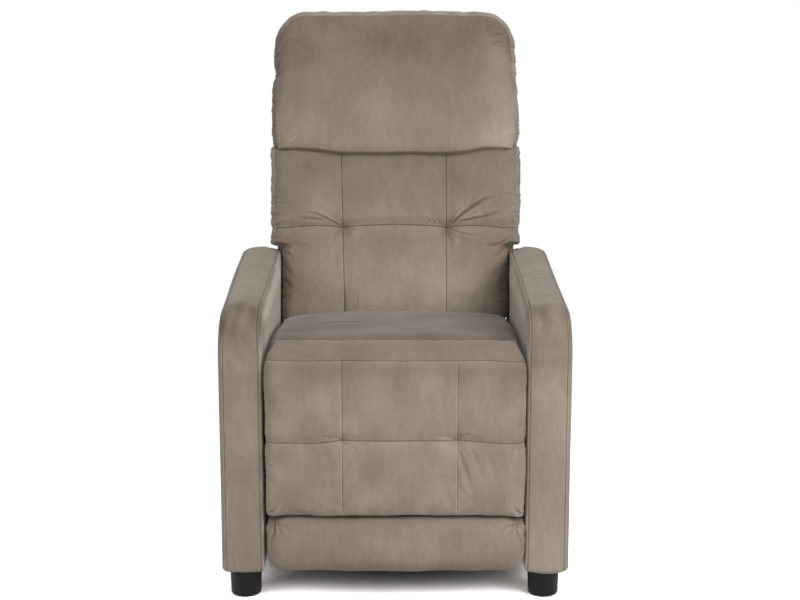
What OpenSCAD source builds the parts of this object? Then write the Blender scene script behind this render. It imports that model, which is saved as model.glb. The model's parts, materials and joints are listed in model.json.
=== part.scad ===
// Push-back recliner with slim padded arms, a tufted back and a fold-out footrest.
// Millimetres. +Z is up, the chair faces -Y, and the origin is on the floor under the middle of its outline.
// Left and right are as seen from in front of the chair: left is -X.

/* [Arms] */
// Width over both arms
overall_w = 640; // [600:5:700]
// Width of one arm
arm_w = 78; // [72:1:96]
// Length of an arm from front to rear
arm_l = 630; // [610:5:660]
// Height of the arm's top just behind its rounded front
arm_front_h = 552; // [535:1:575]
// Height of the arm's top where the rear rounding starts
arm_rear_h = 578; // [560:1:600]
// Radius of the arm's front top corner, seen from the side
arm_front_r = 85; // [60:5:110]
// Radius of the arm's rear top corner, seen from the side
arm_rear_r = 80; // [70:5:110]
// Radius of the padded edges along the arm
arm_edge_r = 14; // [8:1:18]
// Foam and fabric on the arm's inner face
arm_inner_pad_t = 8; // [6:1:12]
// Foam and fabric on the arm's outer face
arm_outer_pad_t = 18; // [12:1:20]
// Foam and fabric round the arm frame's edge
arm_rim_pad_t = 15; // [12:1:20]

/* [Feet] */
// Height of a foot
foot_h = 57; // [40:1:80]
// Diameter of a foot at its top
foot_top_d = 60; // [50:1:66]
// Diameter of a foot just above its rounded base
foot_base_d = 57; // [44:1:60]
// Radius round the base of a foot
foot_edge_r = 6; // [3:1:9]
// Distance from the arm's front to the middle of the front foot
foot_front_inset = 56; // [36:1:70]
// Distance from the arm's rear to the middle of the rear foot
foot_rear_inset = 62; // [40:1:90]

/* [Seat] */
// Height of the seat cushion's top at its front
seat_front_h = 487; // [478:1:500]
// Height of the seat cushion's top at its rear
seat_rear_h = 461; // [452:1:470]
// Gap between a moving cushion and an arm, on each side
side_gap = 4; // [3:0.5:8]
// Height of the seat frame's boards
seat_rail_h = 30; // [24:1:32]
// Width of the seat frame's boards
seat_rail_w = 36; // [28:1:44]
// Number of zigzag springs under the seat
spring_count = 5; // [3:1:6]

/* [Back] */
// Lean of the back from upright, in degrees
back_rake = 15; // [13:0.5:17]
// Length of the back from its hinge to its top
back_l = 735; // [700:5:760]
// Thickness of the lumbar cushion in front of the back frame
lumbar_t = 58; // [50:1:64]
// Thickness of the headrest cushion in front of the back frame
headrest_t = 74; // [60:1:84]
// Depth of the back frame's boards
back_frame_t = 70; // [60:1:76]
// Padding behind the back frame
rear_pad_t = 20; // [14:1:26]
// How far the back widens over the arms, on each side
shoulder_w = 20; // [10:1:24]

/* [Footrest] */
// Depth of the tufted footrest pad in front of its board
footrest_pad_t = 75; // [60:1:80]
// Thickness of the footrest board
footrest_board_t = 15; // [12:1:18]
// Height of the crease between the tufted pad and the roll below it
roll_top_z = 179; // [165:1:190]
// Height of the roll's underside above the floor
roll_low_z = 55; // [50:1:75]

/* [Mechanism] */
// Thickness of the steel plates and links
plate_t = 3; // [2.5:0.25:3.5]
// Free space between neighbouring plates
plate_gap = 2; // [1.8:0.1:2.4]
// Radius of the pivot rivets
pivot_r = 5; // [4:0.25:6]
// Length between the pivots of a seat hanger
hanger_l = 110; // [100:1:116]
// Length of the front footrest link between the seat and the outer link
front_link_l = 165; // [160:1:168]
// Backward slope of the front footrest link when closed, in degrees from straight down
front_link_slope = 40; // [38:1:42]
// Distance between the two parallel footrest pivots on the bracket
bracket_pitch = 70; // [60:1:74]
// Diameter of the cross tube that ties the two front footrest links
cross_tube_d = 16; // [14:1:18]

/* [Hidden] */

// Colours as the photograph shows them, and of the hidden parts
velvet = [0.56, 0.51, 0.45];
timber = [0.78, 0.64, 0.45];
steel = [0.33, 0.34, 0.36];
bright_steel = [0.66, 0.67, 0.69];
black = [0.07, 0.07, 0.07];

// Roundness of curves, how far a cut runs past its piece, and the gap between pieces that lie together
$fn = 48;
overrun = 1;
flush_gap = 0.3;

// Bolts
bolt_r = 4;
bolt_head_r = 7;
bolt_head_t = 1.6;
bolt_clear = 0.3;
arm_bolt_l = 36;
foot_bolt_l = 34;
foot_bolt_depth = 28;
seat_bolt_l = 18;
board_bolt_l = 10;
back_bolt_l = 20;

// Plates stand in layers, counted from the arm inwards
inner_half = overall_w / 2 - arm_w;
plate_pitch = plate_t + plate_gap;
function layer_x(i) = inner_half - plate_t - i * plate_pitch;
base_layer = 0;
hanger_layer = 1;
seat_layer = 2;
swing_layer = 3;
cross_layer = 4;
bracket_layer = 5;
link_r = 12;
boss_r = 16;
bar_tuck = 0.05;
pivot_clear = 0.06;
head_r = 8;
head_t = 1.4;
head_gap = 0.25;

// Cushions: grooves along their seams, and tufts where seams cross
seam_w = 20;
tuft_r = 34;
base_inset = 3;
crown_share = 0.06;

// Back, in its own frame: y is 0 at the hinge and grows rearwards, z runs up along the lean
frame_front = -5;
pad_gap = 2;
pad_plane = frame_front - pad_gap;
seat_half = inner_half - side_gap;
back_half = seat_half - 2;
back_corner_r = 50;
back_edge_r = 34;
lumbar_low = 30;
lumbar_top = 414;
lumbar_foot_inset = 8;
lumbar_foot_half = layer_x(bracket_layer) - lumbar_foot_inset;
lumbar_foot_z = 66;
lumbar_waist_z = 96;
lumbar_corner_r = 16;
lumbar_seam_x = 109;
lumbar_seam_z = 260;
lumbar_groove = 7;
lumbar_tuft = 12;
headrest_gap = 4;
headrest_low = lumbar_top + headrest_gap;
headrest_top_drop = 6;
headrest_inset = 4;
headrest_low_r = 12;
// Rows of a face are shares of the depth in front of its base and of the height up its span
lumbar_low_shares = [[0.25, 0], [0.72, 0.075], [0.94, 0.22], [1, 0.43], [1, 0.72], [1, 0.94]];
lumbar_high_shares = [[1, 0.35], [0.985, 0.68], [0.88, 0.88], [0.64, 0.97], [0.3, 1]];
headrest_face_shares = [[0.3, 0], [0.68, 0.005], [0.86, 0.03], [0.97, 0.1], [1, 0.22], [1, 0.4], [0.98, 0.58],
    [0.92, 0.74], [0.8, 0.87], [0.62, 0.95], [0.4, 0.985], [0.16, 1]];
back_frame_half = layer_x(swing_layer) - flush_gap;
back_frame_low = 86;
back_frame_drop = 20;
back_frame_top = back_l - back_frame_drop;
stile_w = 34;
back_rail_h = 44;
back_rail_count = 4;
back_rail_t = 22;
web_w = 48;
web_t = 1.4;
web_count = 5;
web_inset = 6;
outer_back_low = 42;
outer_back_crown = 12;
outer_back_depth = back_frame_t + rear_pad_t;
outer_edge_r = 26;
outer_low_r = 10;
outer_low_shares = [[-0.002, 0.002], [0.55, 0], [0.84, 0.012], [0.95, 0.05], [0.99, 0.2]];
outer_waist_share = 0.995;
outer_high_shares = [[1, 0.4], [1, 0.6], [0.99, 0.8], [0.95, 0.93], [0.86, 0.972], [0.68, 0.992], [0.45, 1],
    [0.2, 1], [-0.002, 0.99]];
bracket_w = 18;
bracket_top = 290;
bracket_bolt_shares = [0.42, 0.68, 0.94];

// Places of the pivots: distances behind the front of the arms, and heights
front_hanger_inset = 346;
rear_hanger_inset = 74;
hanger_spacing = arm_l - front_hanger_inset - rear_hanger_inset;
hanger_top_z = 300;
back_pivot_lead = 35;
back_pivot_rise = 62;
crank_l = 60;
front_link_inset = 121;
front_link_rise = 56;
rear_link_lag = 60;
rear_link_drop = 15;
footrest_pivot_inset = 91;
footrest_pivot_rise = 53;
board_to_pivot = 20;

// The back widens just above the arms' tops, and its outer shell has a row at each end of that slope
shoulder_clear = 6.5;
shoulder_h = 18;
shoulder_low = (arm_rear_h - hanger_top_z - back_pivot_rise) / cos(back_rake) + shoulder_clear;
shoulder_high = shoulder_low + shoulder_h;
outer_waist_shares = [for (z = [shoulder_low, shoulder_high])
    [outer_waist_share, (z - outer_back_low) / (back_l - outer_back_low)]];
outer_face = [for (s = concat(outer_low_shares, outer_waist_shares, outer_high_shares))
    [frame_front + s[0] * outer_back_depth + outer_back_crown * sin(180 * s[1]) * s[0],
        outer_back_low + s[1] * (back_l - outer_back_low)]];

// The origin lies midway between the front of the footrest and the rear of the back
pad_front_inset = footrest_pivot_inset - board_to_pivot - footrest_board_t - flush_gap - footrest_pad_t;
back_reach = max([for (p = outer_face) p[0] * cos(back_rake) + p[1] * sin(back_rake)]);
back_rear_inset = front_hanger_inset + hanger_spacing - back_pivot_lead + back_reach;
arm_front_y = -(pad_front_inset + back_rear_inset) / 2;
arm_rear_y = arm_front_y + arm_l;

// Arms
arm_low_r = 8;
arm_crown = 4;
arm_least_r_share = 0.1;
arm_outline_steps = 7;
arm_corner_steps = 2;
arm_edge_shares = [[0, 1], [0.13, 0.5], [0.5, 0.13], [1, 0]];
arm_frame_x = inner_half + arm_inner_pad_t;
arm_frame_t = arm_w - arm_inner_pad_t - arm_outer_pad_t;
arm_frame_clear = 0.5;
arm_post_w = 58;
arm_sill_h = 46;
arm_head_h = 44;
arm_mid_rail_h = 62;
foot_x = inner_half + arm_w / 2;

// Rails and panels between the arms
rail_t = 22;
rail_clear = 5;
rail_low_z = foot_h + rail_clear;
rail_h = 42;
rail_top_z = rail_low_z + rail_h;
front_rail_inset = 84;
front_rail_y = arm_front_y + front_rail_inset;
rear_panel_t = 16;
rear_panel_inset = 4;
rear_panel_y = arm_rear_y - rear_panel_inset - rear_panel_t;
rear_panel_top_z = 376;
rear_rail_y = rear_panel_y - rail_t;
dust_cover_t = 1.5;
corner_leg = 36;
corner_h = 32;
corner_t = 3;
corner_bolt_share = 0.6;

// Base plates, and the hangers from which the seat swings
front_hang = [arm_front_y + front_hanger_inset, hanger_top_z];
rear_hang = front_hang + [hanger_spacing, 0];
front_foot = front_hang - [0, hanger_l];
rear_foot = rear_hang - [0, hanger_l];
base_strap_r = 17;
base_bolt_front = 64;
base_bolt_rear = 34;
base_rail_r = 13;
base_flange_w = 26;

// Back hinge, and the crank that ties the back to the rear hanger
back_pivot = rear_hang + [-back_pivot_lead, back_pivot_rise];
crank_low = rear_foot + [0, crank_l];
crank_high = back_pivot + [0, crank_l];

// Footrest linkage, closed: two parallelograms in a row
front_link_top = [arm_front_y + front_link_inset, hanger_top_z + front_link_rise];
rear_link_offset = [rear_link_lag, -rear_link_drop];
rear_link_top = front_link_top + rear_link_offset;
front_link_knee = front_link_top + front_link_l * [sin(front_link_slope), -cos(front_link_slope)];
rear_link_end = front_link_knee + rear_link_offset;
front_link_end = front_link_knee - [0, bracket_pitch];
footrest_pivot = [arm_front_y + footrest_pivot_inset, hanger_top_z + footrest_pivot_rise];
footrest_low_pivot = footrest_pivot - [0, bracket_pitch];
cross_tube_share = 0.5;
cross_tube_at = front_link_knee + cross_tube_share * (front_link_end - front_link_knee);
cross_tube_wall = 1.5;

// Footrest board, pad and roll
board_rear_y = footrest_pivot[0] - board_to_pivot;
board_front_y = board_rear_y - footrest_board_t;
board_inset = 12;
board_half = seat_half - board_inset;
board_foot_drop = 18;
board_low_z = roll_low_z + board_foot_drop;
board_top_drop = 32;
board_top_z = seat_front_h - board_top_drop;
board_corner_r = 20;
pad_seam_x = 105;
pad_seam_z = 323;
pad_groove = 7;
pad_tuft = 7;
pad_rise = 3;
pad_corner_r = 10;
pad_high_corner_r = 26;
pad_edge_r = 30;
pad_turn_rows = 4;
pad_turn_gap = 2;
roll_gap = 2;
roll_inset = 4;
roll_t = footrest_pad_t - roll_inset;
roll_low_r = 36;
roll_high_r = 4;
pad_low_z = roll_top_z + roll_gap;
pad_top_z = seat_front_h + pad_rise;
pad_low_shares = [[0.3, 0], [0.78, 0.01], [0.94, 0.08], [0.99, 0.25], [1, 0.6]];
pad_high_shares = [[1, 0.34], [0.99, 0.58], [0.965, 0.74], [0.87, 0.84], [0.7, 0.905], [0.4, 0.97], [0.1, 1],
    [-0.1, 0.98], [-0.17, 0.9]];
roll_face_shares = [[0.08, 0], [0.45, 0.015], [0.75, 0.08], [0.93, 0.22], [1, 0.42], [1, 0.6], [0.97, 0.8],
    [0.86, 0.95], [0.6, 1], [0.25, 1]];
bracket_strip_w = 34;
bracket_end = 16;
bracket_foot = 48;
bracket_flange_w = 26;
board_bolt_rise = 16;

// Seat plate and frame
seat_strap_r = 18;
seat_flange_w = 32;
seat_flange_z = back_pivot[1] + seat_strap_r;
seat_flange_inset = 18;
seat_leg_r = 13;
seat_leg_lag = 65;
seat_frame_z = seat_flange_z + plate_t;
seat_top_z = seat_frame_z + seat_rail_h;
seat_front_lead = 5;
seat_rear_lag = 48;
seat_frame_front_y = footrest_pivot[0] - seat_front_lead;
seat_frame_rear_y = back_pivot[0] - seat_rear_lag;
seat_frame_inset = 6;
seat_frame_half = seat_half - seat_frame_inset;
seat_bolt_x = layer_x(seat_layer) - (seat_flange_w - plate_t) / 2;
seat_bolt_inset = 40;
border_t = 8;
border_drop = 44;
border_inset = 6;
border_half = layer_x(bracket_layer) - border_inset;

// Zigzag springs: straight bars across, joined at alternate ends by half loops
wire_r = 1.8;
wire_sides = 4;
spring_pitch = 24;
spring_bar_half = 18;
spring_span_half = 150;
spring_z = seat_top_z + wire_r;
spring_front_y = seat_frame_front_y + seat_rail_w / 2;
spring_rear_y = seat_frame_rear_y - seat_rail_w / 2;
spring_bars = round((spring_rear_y - spring_front_y) / spring_pitch);
clip_w = 26;
clip_d = 14;
clip_t = 1.4;

// Seat cushion, between the footrest pad and the lumbar cushion
function lumbar_face_y(z) = back_pivot[0] + (pad_plane - lumbar_t) / cos(back_rake)
    + (z - back_pivot[1]) * tan(back_rake);
cushion_low_z = seat_top_z + 2 * wire_r + clip_t + 2 * flush_gap;
cushion_gap = 2;
cushion_front_y = board_rear_y + cushion_gap;
cushion_rear_y = lumbar_face_y(seat_rear_h) - cushion_gap;
cushion_edge_r = 30;
cushion_crown = 5;
cushion_corner_r = 16;
cushion_face_shares = [[0.03, 0.02], [0, 0.3], [0, 0.62], [0.025, 0.86], [0.075, 0.97], [0.25, 1], [0.5, 1],
    [0.75, 1], [0.92, 0.97], [0.98, 0.82], [1, 0.5], [0.985, 0.02]];

// Which side a node is on
left = 1;
right = 0;
sides = [left, right];

// A child drawn on the right is turned over for the left
module on_side(side) {
    mirror([side, 0, 0]) children();
}

module both_sides() {
    for (side = sides) on_side(side) children();
}

// Extrudes a shape drawn in (y, z) across the chair
module across(x, t) {
    translate([x, 0, 0]) rotate([90, 0, 90]) linear_extrude(t) children();
}

// A flat bar with round ends between two pivots. Its sides lie a hair inside the ends, so they cross them cleanly
module bar(a, b, r) {
    run = b - a;
    half = r - bar_tuck;
    translate(a) circle(r);
    translate(b) circle(r);
    translate(a) rotate(atan2(run[1], run[0])) translate([0, -half]) square([norm(run), 2 * half]);
}

module bores(places) {
    for (p = places) translate(p) circle(pivot_r + pivot_clear);
}

module bolt_bores(places) {
    for (p = places) translate(p) circle(bolt_r + bolt_clear);
}

module link_plate(i, stops) {
    across(layer_x(i), plate_t) difference() {
        for (k = [0 : len(stops) - 2]) bar(stops[k], stops[k + 1], link_r);
        bores(stops);
    }
}

// A rivet through the plates of layers outer and inner, with a collar in the space between them
module rivet(p, outer, inner, flush_outside = false) {
    x_in = layer_x(inner) - head_gap - head_t;
    x_out = layer_x(outer) + plate_t + (flush_outside ? 0 : head_gap + head_t);
    collar_in = layer_x(inner) + plate_t + head_gap;
    collar_out = layer_x(outer) - head_gap;
    across(x_in, x_out - x_in) translate(p) circle(pivot_r);
    across(x_in, head_t) translate(p) circle(head_r);
    across(collar_in, collar_out - collar_in) translate(p) circle(head_r);
    if (!flush_outside) across(x_out - head_t, head_t) translate(p) circle(head_r);
}

// A bolt that lies across the chair, its head's seat at x and its shank running outwards
module cross_bolt(x, p, l) {
    across(x - bolt_head_t, bolt_head_t) translate(p) circle(bolt_head_r, $fn = 6);
    across(x - bolt_head_t / 2, l + bolt_head_t / 2) translate(p) circle(bolt_r);
}

// An upright bolt, its head's seat at the origin and its shank running upwards
module bolt_up(l) {
    translate([0, 0, -bolt_head_t]) cylinder(r = bolt_head_r, h = bolt_head_t, $fn = 6);
    translate([0, 0, -bolt_head_t / 2]) cylinder(r = bolt_r, h = l + bolt_head_t / 2);
}

// Closed skin over equal rings of points, each ring holding one face chain and then its base chain reversed
module skin(rings) {
    n = len(rings[0]);
    m = len(rings);
    wall = [for (i = [0 : m - 2], k = [0 : n - 1])
        let (a = i * n + k, b = i * n + (k + 1) % n) each [[a, b + n, b], [a, a + n, b + n]]];
    first = [for (k = [0 : n / 2 - 2]) each [[k, k + 1, n - 2 - k], [k, n - 2 - k, n - 1 - k]]];
    last = [for (t = first) [for (v = [2, 1, 0]) t[v] + (m - 1) * n]];
    polyhedron([for (ring = rings) each ring], concat(wall, first, last));
}

function clamp01(v) = min(1, max(0, v));
function ease(v) = let (t = clamp01(v)) t * t * (3 - 2 * t);
function dip(d, w) = pow(1 - pow(clamp01(d / w), 2), 2);
// How far an edge of radius r has rounded off at x, when it ends at w
function edge_fall(x, w, r) = r > 0 ? r * (1 - sqrt(1 - pow(clamp01((abs(x) - w + r) / r), 2))) : 0;
function arc_points(c, r, from, to, steps) =
    [for (i = [0 : steps]) let (a = from + (to - from) * i / steps) c + r * [cos(a), sin(a)]];

// Places across the width where a cushion has a ring: its middle, its seams, and its rounded edges
function stations(w, r, seam) =
    let (
        edge = [w - r, w - r / 2, w - r / 6, w],
        inner = seam > 0
            ? [seam / 2, for (k = [-2 : 2]) seam + k * seam_w / 2, (seam + seam_w + w - r) / 2]
            : [w / 4, w / 2, (w / 2 + w - r) / 2],
        half = concat(inner, edge))
    concat([for (k = [len(half) - 1 : -1 : 0]) -half[k] / w], [0], [for (v = half) v / w]);

// A chain of points drawn as shares of a depth in front of a plane and of a height above its foot
function chain(shares, plane, t, low, high) = [for (s = shares) [plane - s[0] * t, low + s[1] * (high - low)]];

// The same with five rows across a level seam
function seamed_chain(low_shares, high_shares, plane, t, low, seam, high) = concat(
    chain(low_shares, plane, t, low, seam - seam_w),
    [for (k = [-2 : 2]) [plane - t, seam + k * seam_w / 2]],
    chain(high_shares, plane, t, seam + seam_w, high));

// Points up a cushion's flat base, as many as its face has
function flat_base(count, plane, low, high) = [for (k = [0 : count - 1])
    [plane, low + base_inset + (high - low - 2 * base_inset) * k / (count - 1)]];

// One ring of a cushion at share s of its half width, drawn in near the edges, grooved and tufted
function cushion_ring(s, face, base, plane, t, width, low, high, edge_r, low_r, high_r, seam, seam_z, groove,
        tuft) =
    let (
        mid = (low + high) / 2,
        sunk = [for (p = face) let (
            w = width(p[1]),
            x = s * w,
            out = clamp01((plane - p[0]) / t),
            thin = 1 - edge_fall(x, w, edge_r) / t - crown_share * pow(s, 4),
            side = min(abs(x - seam), abs(x + seam)),
            line = seam > 0 ? max(dip(side, seam_w), dip(abs(p[1] - seam_z), seam_w)) : 0,
            spot = seam > 0 ? exp(-pow(norm([side, p[1] - seam_z]) / tuft_r, 2)) : 0)
            [x, plane - (plane - p[0]) * thin + (groove * line + tuft * spot) * out, p[1]]],
        flat = [for (k = [len(base) - 1 : -1 : 0]) [s * width(base[k][1]), base[k][0], base[k][1]]])
    [for (p = concat(sunk, flat)) let (
        share = (p[2] - mid) / (high - mid),
        fall = edge_fall(p[0], width(p[2]), p[2] > mid ? high_r : low_r))
        [p[0], p[1], p[2] - fall * share]];

// A cushion: its face chain swept across the width, on a base chain that lies on the piece that carries it
module cushion(face, base, plane, t, half, width, low, high, edge_r, low_r, high_r, seam = 0, seam_z = 0,
        groove = 0, tuft = 0) {
    skin([for (s = stations(half, edge_r, seam)) cushion_ring(s, face, base, plane, t, width, low, high,
        edge_r, low_r, high_r, seam, seam_z, groove, tuft)]);
}

// Arms

// Outline of an arm seen from the side, drawn in by an inset, with a flat underside inside the crown
function arm_outline(inset) =
    let (
        low_r = max(arm_low_r - inset, arm_least_r_share * arm_low_r),
        low_z = foot_h + max(inset - arm_crown, 0) + low_r,
        front_c = [arm_front_y + arm_front_r, arm_front_h - arm_front_r],
        rear_c = [arm_rear_y - arm_rear_r, arm_rear_h - arm_rear_r],
        run = rear_c - front_c,
        top_angle = atan2(run[1], run[0]) + acos((arm_front_r - arm_rear_r) / norm(run)))
    concat(
        arc_points([arm_front_y + inset + low_r, low_z], low_r, 180, 270, arm_corner_steps),
        arc_points([arm_rear_y - inset - low_r, low_z], low_r, 270, 360, arm_corner_steps),
        arc_points(rear_c, arm_rear_r - inset, 0, top_angle, arm_outline_steps),
        arc_points(front_c, arm_front_r - inset, top_angle, 180, arm_outline_steps));

module arm_skin() {
    edge = arm_edge_shares * arm_edge_r;
    near = [for (e = edge) [inner_half + e[0], arm_crown + e[1]]];
    far = [for (k = [len(edge) - 1 : -1 : 0]) [inner_half + arm_w - edge[k][0], arm_crown + edge[k][1]]];
    rows = concat(near, [[inner_half + arm_w / 2, 0]], far);
    skin([for (row = rows) [for (p = arm_outline(row[1])) [row[0], p[0], p[1]]]]);
}

function plate_bolt_places() =
    [front_hang - [base_bolt_front, 0], (front_hang + rear_hang) / 2, rear_hang + [base_bolt_rear, 0]];
function corner_bolt_places() =
    [[front_rail_y + rail_t + corner_leg * corner_bolt_share, rail_low_z + rail_h / 2],
        [rear_rail_y - corner_leg * corner_bolt_share, rail_low_z + rail_h / 2]];
function foot_places() = [arm_front_y + foot_front_inset, arm_rear_y - foot_rear_inset];

module arm_holes() {
    across(inner_half - overrun, arm_bolt_l + 2 * overrun)
        bolt_bores(concat(plate_bolt_places(), corner_bolt_places()));
    for (y = foot_places())
        translate([foot_x, y, foot_h - overrun])
            cylinder(r = bolt_r + bolt_clear, h = foot_bolt_l + 2 * overrun);
}

module arm_frame(side) {
    low = foot_h + arm_rim_pad_t - arm_crown + arm_sill_h;
    front = arm_front_y + arm_rim_pad_t + arm_post_w;
    rear = arm_rear_y - arm_rim_pad_t - arm_post_w;
    mid_low = hanger_top_z - arm_mid_rail_h / 2;
    mid_high = hanger_top_z + arm_mid_rail_h / 2;
    high = arm_front_h - arm_rim_pad_t - arm_head_h;
    color(timber) on_side(side) difference() {
        across(arm_frame_x, arm_frame_t) difference() {
            polygon(arm_outline(arm_rim_pad_t));
            translate([front, low]) square([rear - front, mid_low - low]);
            translate([front, mid_high]) square([rear - front, high - mid_high]);
        }
        arm_holes();
    }
}

module arm_upholstery(side) {
    color(velvet) on_side(side) difference() {
        arm_skin();
        across(arm_frame_x - arm_frame_clear, arm_frame_t + 2 * arm_frame_clear)
            polygon(arm_outline(arm_rim_pad_t - arm_frame_clear));
        arm_holes();
    }
}

// Feet

module foot() {
    base_r = foot_base_d / 2;
    rotate_extrude() intersection() {
        union() {
            polygon([[0, 0], [base_r - foot_edge_r, 0], [base_r, foot_edge_r], [foot_top_d / 2, foot_h],
                [0, foot_h]]);
            translate([base_r - foot_edge_r, foot_edge_r]) circle(foot_edge_r);
        }
        square([foot_top_d, foot_h]);
    }
}

module feet() {
    color(black) both_sides() for (y = foot_places()) translate([foot_x, y, 0]) difference() {
        foot();
        translate([0, 0, foot_h - foot_bolt_depth])
            cylinder(r = bolt_r + bolt_clear, h = foot_bolt_depth + overrun);
    }
}

// Studs that screw each foot into its arm
module foot_bolts() {
    color(bright_steel) both_sides() for (y = foot_places()) translate([foot_x, y, foot_h - foot_bolt_depth])
        cylinder(r = bolt_r, h = foot_bolt_depth + foot_bolt_l);
}

// Rails and panels between the arms

module rail(y) {
    color(timber) translate([-inner_half, y, rail_low_z]) cube([2 * inner_half, rail_t, rail_h]);
}

module rear_panel() {
    half = inner_half - flush_gap;
    r = rear_panel_t / 2;
    color(velvet) across(-half, 2 * half) translate([rear_panel_y, rail_low_z]) {
        square([rear_panel_t, rear_panel_top_z - rail_low_z - r]);
        translate([r, rear_panel_top_z - rail_low_z - r]) circle(r);
    }
}

module dust_cover() {
    half = inner_half - flush_gap;
    color(black) translate([-half, front_rail_y, rail_low_z - dust_cover_t])
        cube([2 * half, rear_rail_y + rail_t - front_rail_y, dust_cover_t]);
}

// A steel angle that joins a rail's end to an arm, on the side of the rail that way points to
module corner_angle(face_y, way) {
    z = rail_low_z + (rail_h - corner_h) / 2;
    difference() {
        translate([0, face_y, z]) mirror([0, way < 0 ? 1 : 0, 0]) {
            translate([inner_half - corner_t, 0, 0]) cube([corner_t, corner_leg, corner_h]);
            translate([inner_half - corner_leg, 0, 0]) cube([corner_leg, corner_t, corner_h]);
        }
        across(inner_half - corner_t - overrun, corner_t + 2 * overrun) bolt_bores(corner_bolt_places());
    }
}

module corner_brackets() {
    color(bright_steel) both_sides() {
        corner_angle(front_rail_y + rail_t, 1);
        corner_angle(rear_rail_y, -1);
    }
}

module base_plate(side) {
    rail_z = rail_top_z + base_rail_r;
    front_end = [front_rail_y + base_rail_r, rail_z];
    rear_end = [rear_rail_y + rail_t - base_rail_r, rail_z];
    bolts = plate_bolt_places();
    color(steel) on_side(side) {
        across(layer_x(base_layer), plate_t) difference() {
            union() {
                bar(front_end, rear_end, base_rail_r);
                bar(bolts[0], bolts[2], base_strap_r);
                bar([front_hang[0], rail_z], front_hang, base_rail_r);
                bar([rear_hang[0], rail_z], rear_hang, base_rail_r);
            }
            bores([front_hang, rear_hang]);
            bolt_bores(bolts);
        }
        for (y = [front_rail_y, rear_rail_y])
            translate([inner_half - base_flange_w, y, rail_top_z]) cube([base_flange_w, rail_t, plate_t]);
    }
}

module base_pivots() {
    color(bright_steel) both_sides()
        for (p = [front_hang, rear_hang]) rivet(p, base_layer, hanger_layer, true);
}

module arm_bolts() {
    color(bright_steel) both_sides() {
        for (p = plate_bolt_places()) cross_bolt(layer_x(base_layer), p, arm_bolt_l);
        for (p = corner_bolt_places()) cross_bolt(inner_half - corner_t, p, arm_bolt_l);
    }
}

// Hangers that carry the seat

module front_hanger(side) {
    color(steel) on_side(side) link_plate(hanger_layer, [front_hang, front_foot]);
}

module rear_hanger(side) {
    color(steel) on_side(side) link_plate(hanger_layer, [rear_hang, crank_low, rear_foot]);
}

// Seat

function seat_bolt_places() =
    [for (y = [seat_frame_front_y + seat_bolt_inset, (seat_frame_front_y + seat_frame_rear_y) / 2,
        seat_frame_rear_y - seat_bolt_inset]) [seat_bolt_x, y, seat_flange_z]];

module seat_bolt_holes() {
    for (p = seat_bolt_places()) translate(p - [0, 0, overrun])
        cylinder(r = bolt_r + bolt_clear, h = seat_bolt_l + plate_t + 2 * overrun);
}

module seat_plate(side) {
    knee = back_pivot - [seat_leg_lag, 0];
    flange_y = seat_frame_front_y + seat_flange_inset;
    flange_l = seat_frame_rear_y - flange_y;
    color(steel) on_side(side) {
        across(layer_x(seat_layer), plate_t) difference() {
            union() {
                bar(front_link_top, knee, boss_r);
                bar(knee, back_pivot, seat_strap_r);
                bar(rear_link_top, rear_link_top + [boss_r, 0], boss_r);
                bar([front_foot[0], knee[1]], front_foot, seat_leg_r);
                bar(knee, rear_foot, seat_leg_r);
                translate([flange_y, knee[1]]) square([flange_l, seat_strap_r + plate_t]);
            }
            bores([front_link_top, rear_link_top, front_foot, rear_foot, back_pivot]);
        }
        difference() {
            translate([layer_x(seat_layer) + plate_t - seat_flange_w, flange_y, seat_flange_z])
                cube([seat_flange_w, flange_l, plate_t]);
            seat_bolt_holes();
        }
    }
}

module seat_bolts() {
    color(bright_steel) both_sides() for (p = seat_bolt_places()) translate(p) bolt_up(seat_bolt_l);
}

module seat_pivots() {
    color(bright_steel) both_sides() {
        for (p = [front_foot, rear_foot]) rivet(p, hanger_layer, seat_layer);
        for (p = [front_link_top, rear_link_top, back_pivot]) rivet(p, seat_layer, swing_layer);
    }
}

module seat_frame() {
    l = seat_frame_rear_y - seat_frame_front_y;
    hole_half = seat_frame_half - seat_rail_w;
    color(timber) difference() {
        translate([-seat_frame_half, seat_frame_front_y, seat_frame_z])
            cube([2 * seat_frame_half, l, seat_rail_h]);
        translate([-hole_half, seat_frame_front_y + seat_rail_w, seat_frame_z - overrun])
            cube([2 * hole_half, l - 2 * seat_rail_w, seat_rail_h + 2 * overrun]);
        both_sides() seat_bolt_holes();
    }
}

function spring_x(k) = spring_span_half * (2 * k / (spring_count - 1) - 1);

// One zigzag wire, swept along its bars and half loops
module zigzag() {
    pitch = (spring_rear_y - spring_front_y) / spring_bars;
    path = [for (i = [0 : spring_bars]) let (
        y = spring_front_y + i * pitch,
        side = i % 2 == 0 ? 1 : -1)
        each concat([[-side * spring_bar_half, y], [side * spring_bar_half, y]],
            i < spring_bars ? [[side * (spring_bar_half + pitch / 2), y + pitch / 2]] : [])];
    last = len(path) - 1;
    n = wire_sides;
    rings = [for (i = [0 : last])
        let (way = path[min(i + 1, last)] - path[max(i - 1, 0)], out = [way[1], -way[0]] / norm(way))
        [for (k = [0 : n - 1]) let (a = 360 * k / n + 90)
            [path[i][0] + wire_r * cos(a) * out[0], path[i][1] + wire_r * cos(a) * out[1], wire_r * sin(a)]]];
    wall = [for (i = [0 : last - 1], k = [0 : n - 1])
        let (a = i * n + k, b = i * n + (k + 1) % n) each [[a, b, b + n], [a, b + n, a + n]]];
    polyhedron([for (ring = rings) each ring],
        concat(wall, [[for (k = [n - 1 : -1 : 0]) k]], [[for (k = [0 : n - 1]) last * n + k]]));
}

module seat_springs() {
    color(bright_steel) for (k = [0 : spring_count - 1]) translate([spring_x(k), 0, spring_z]) zigzag();
}

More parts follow.
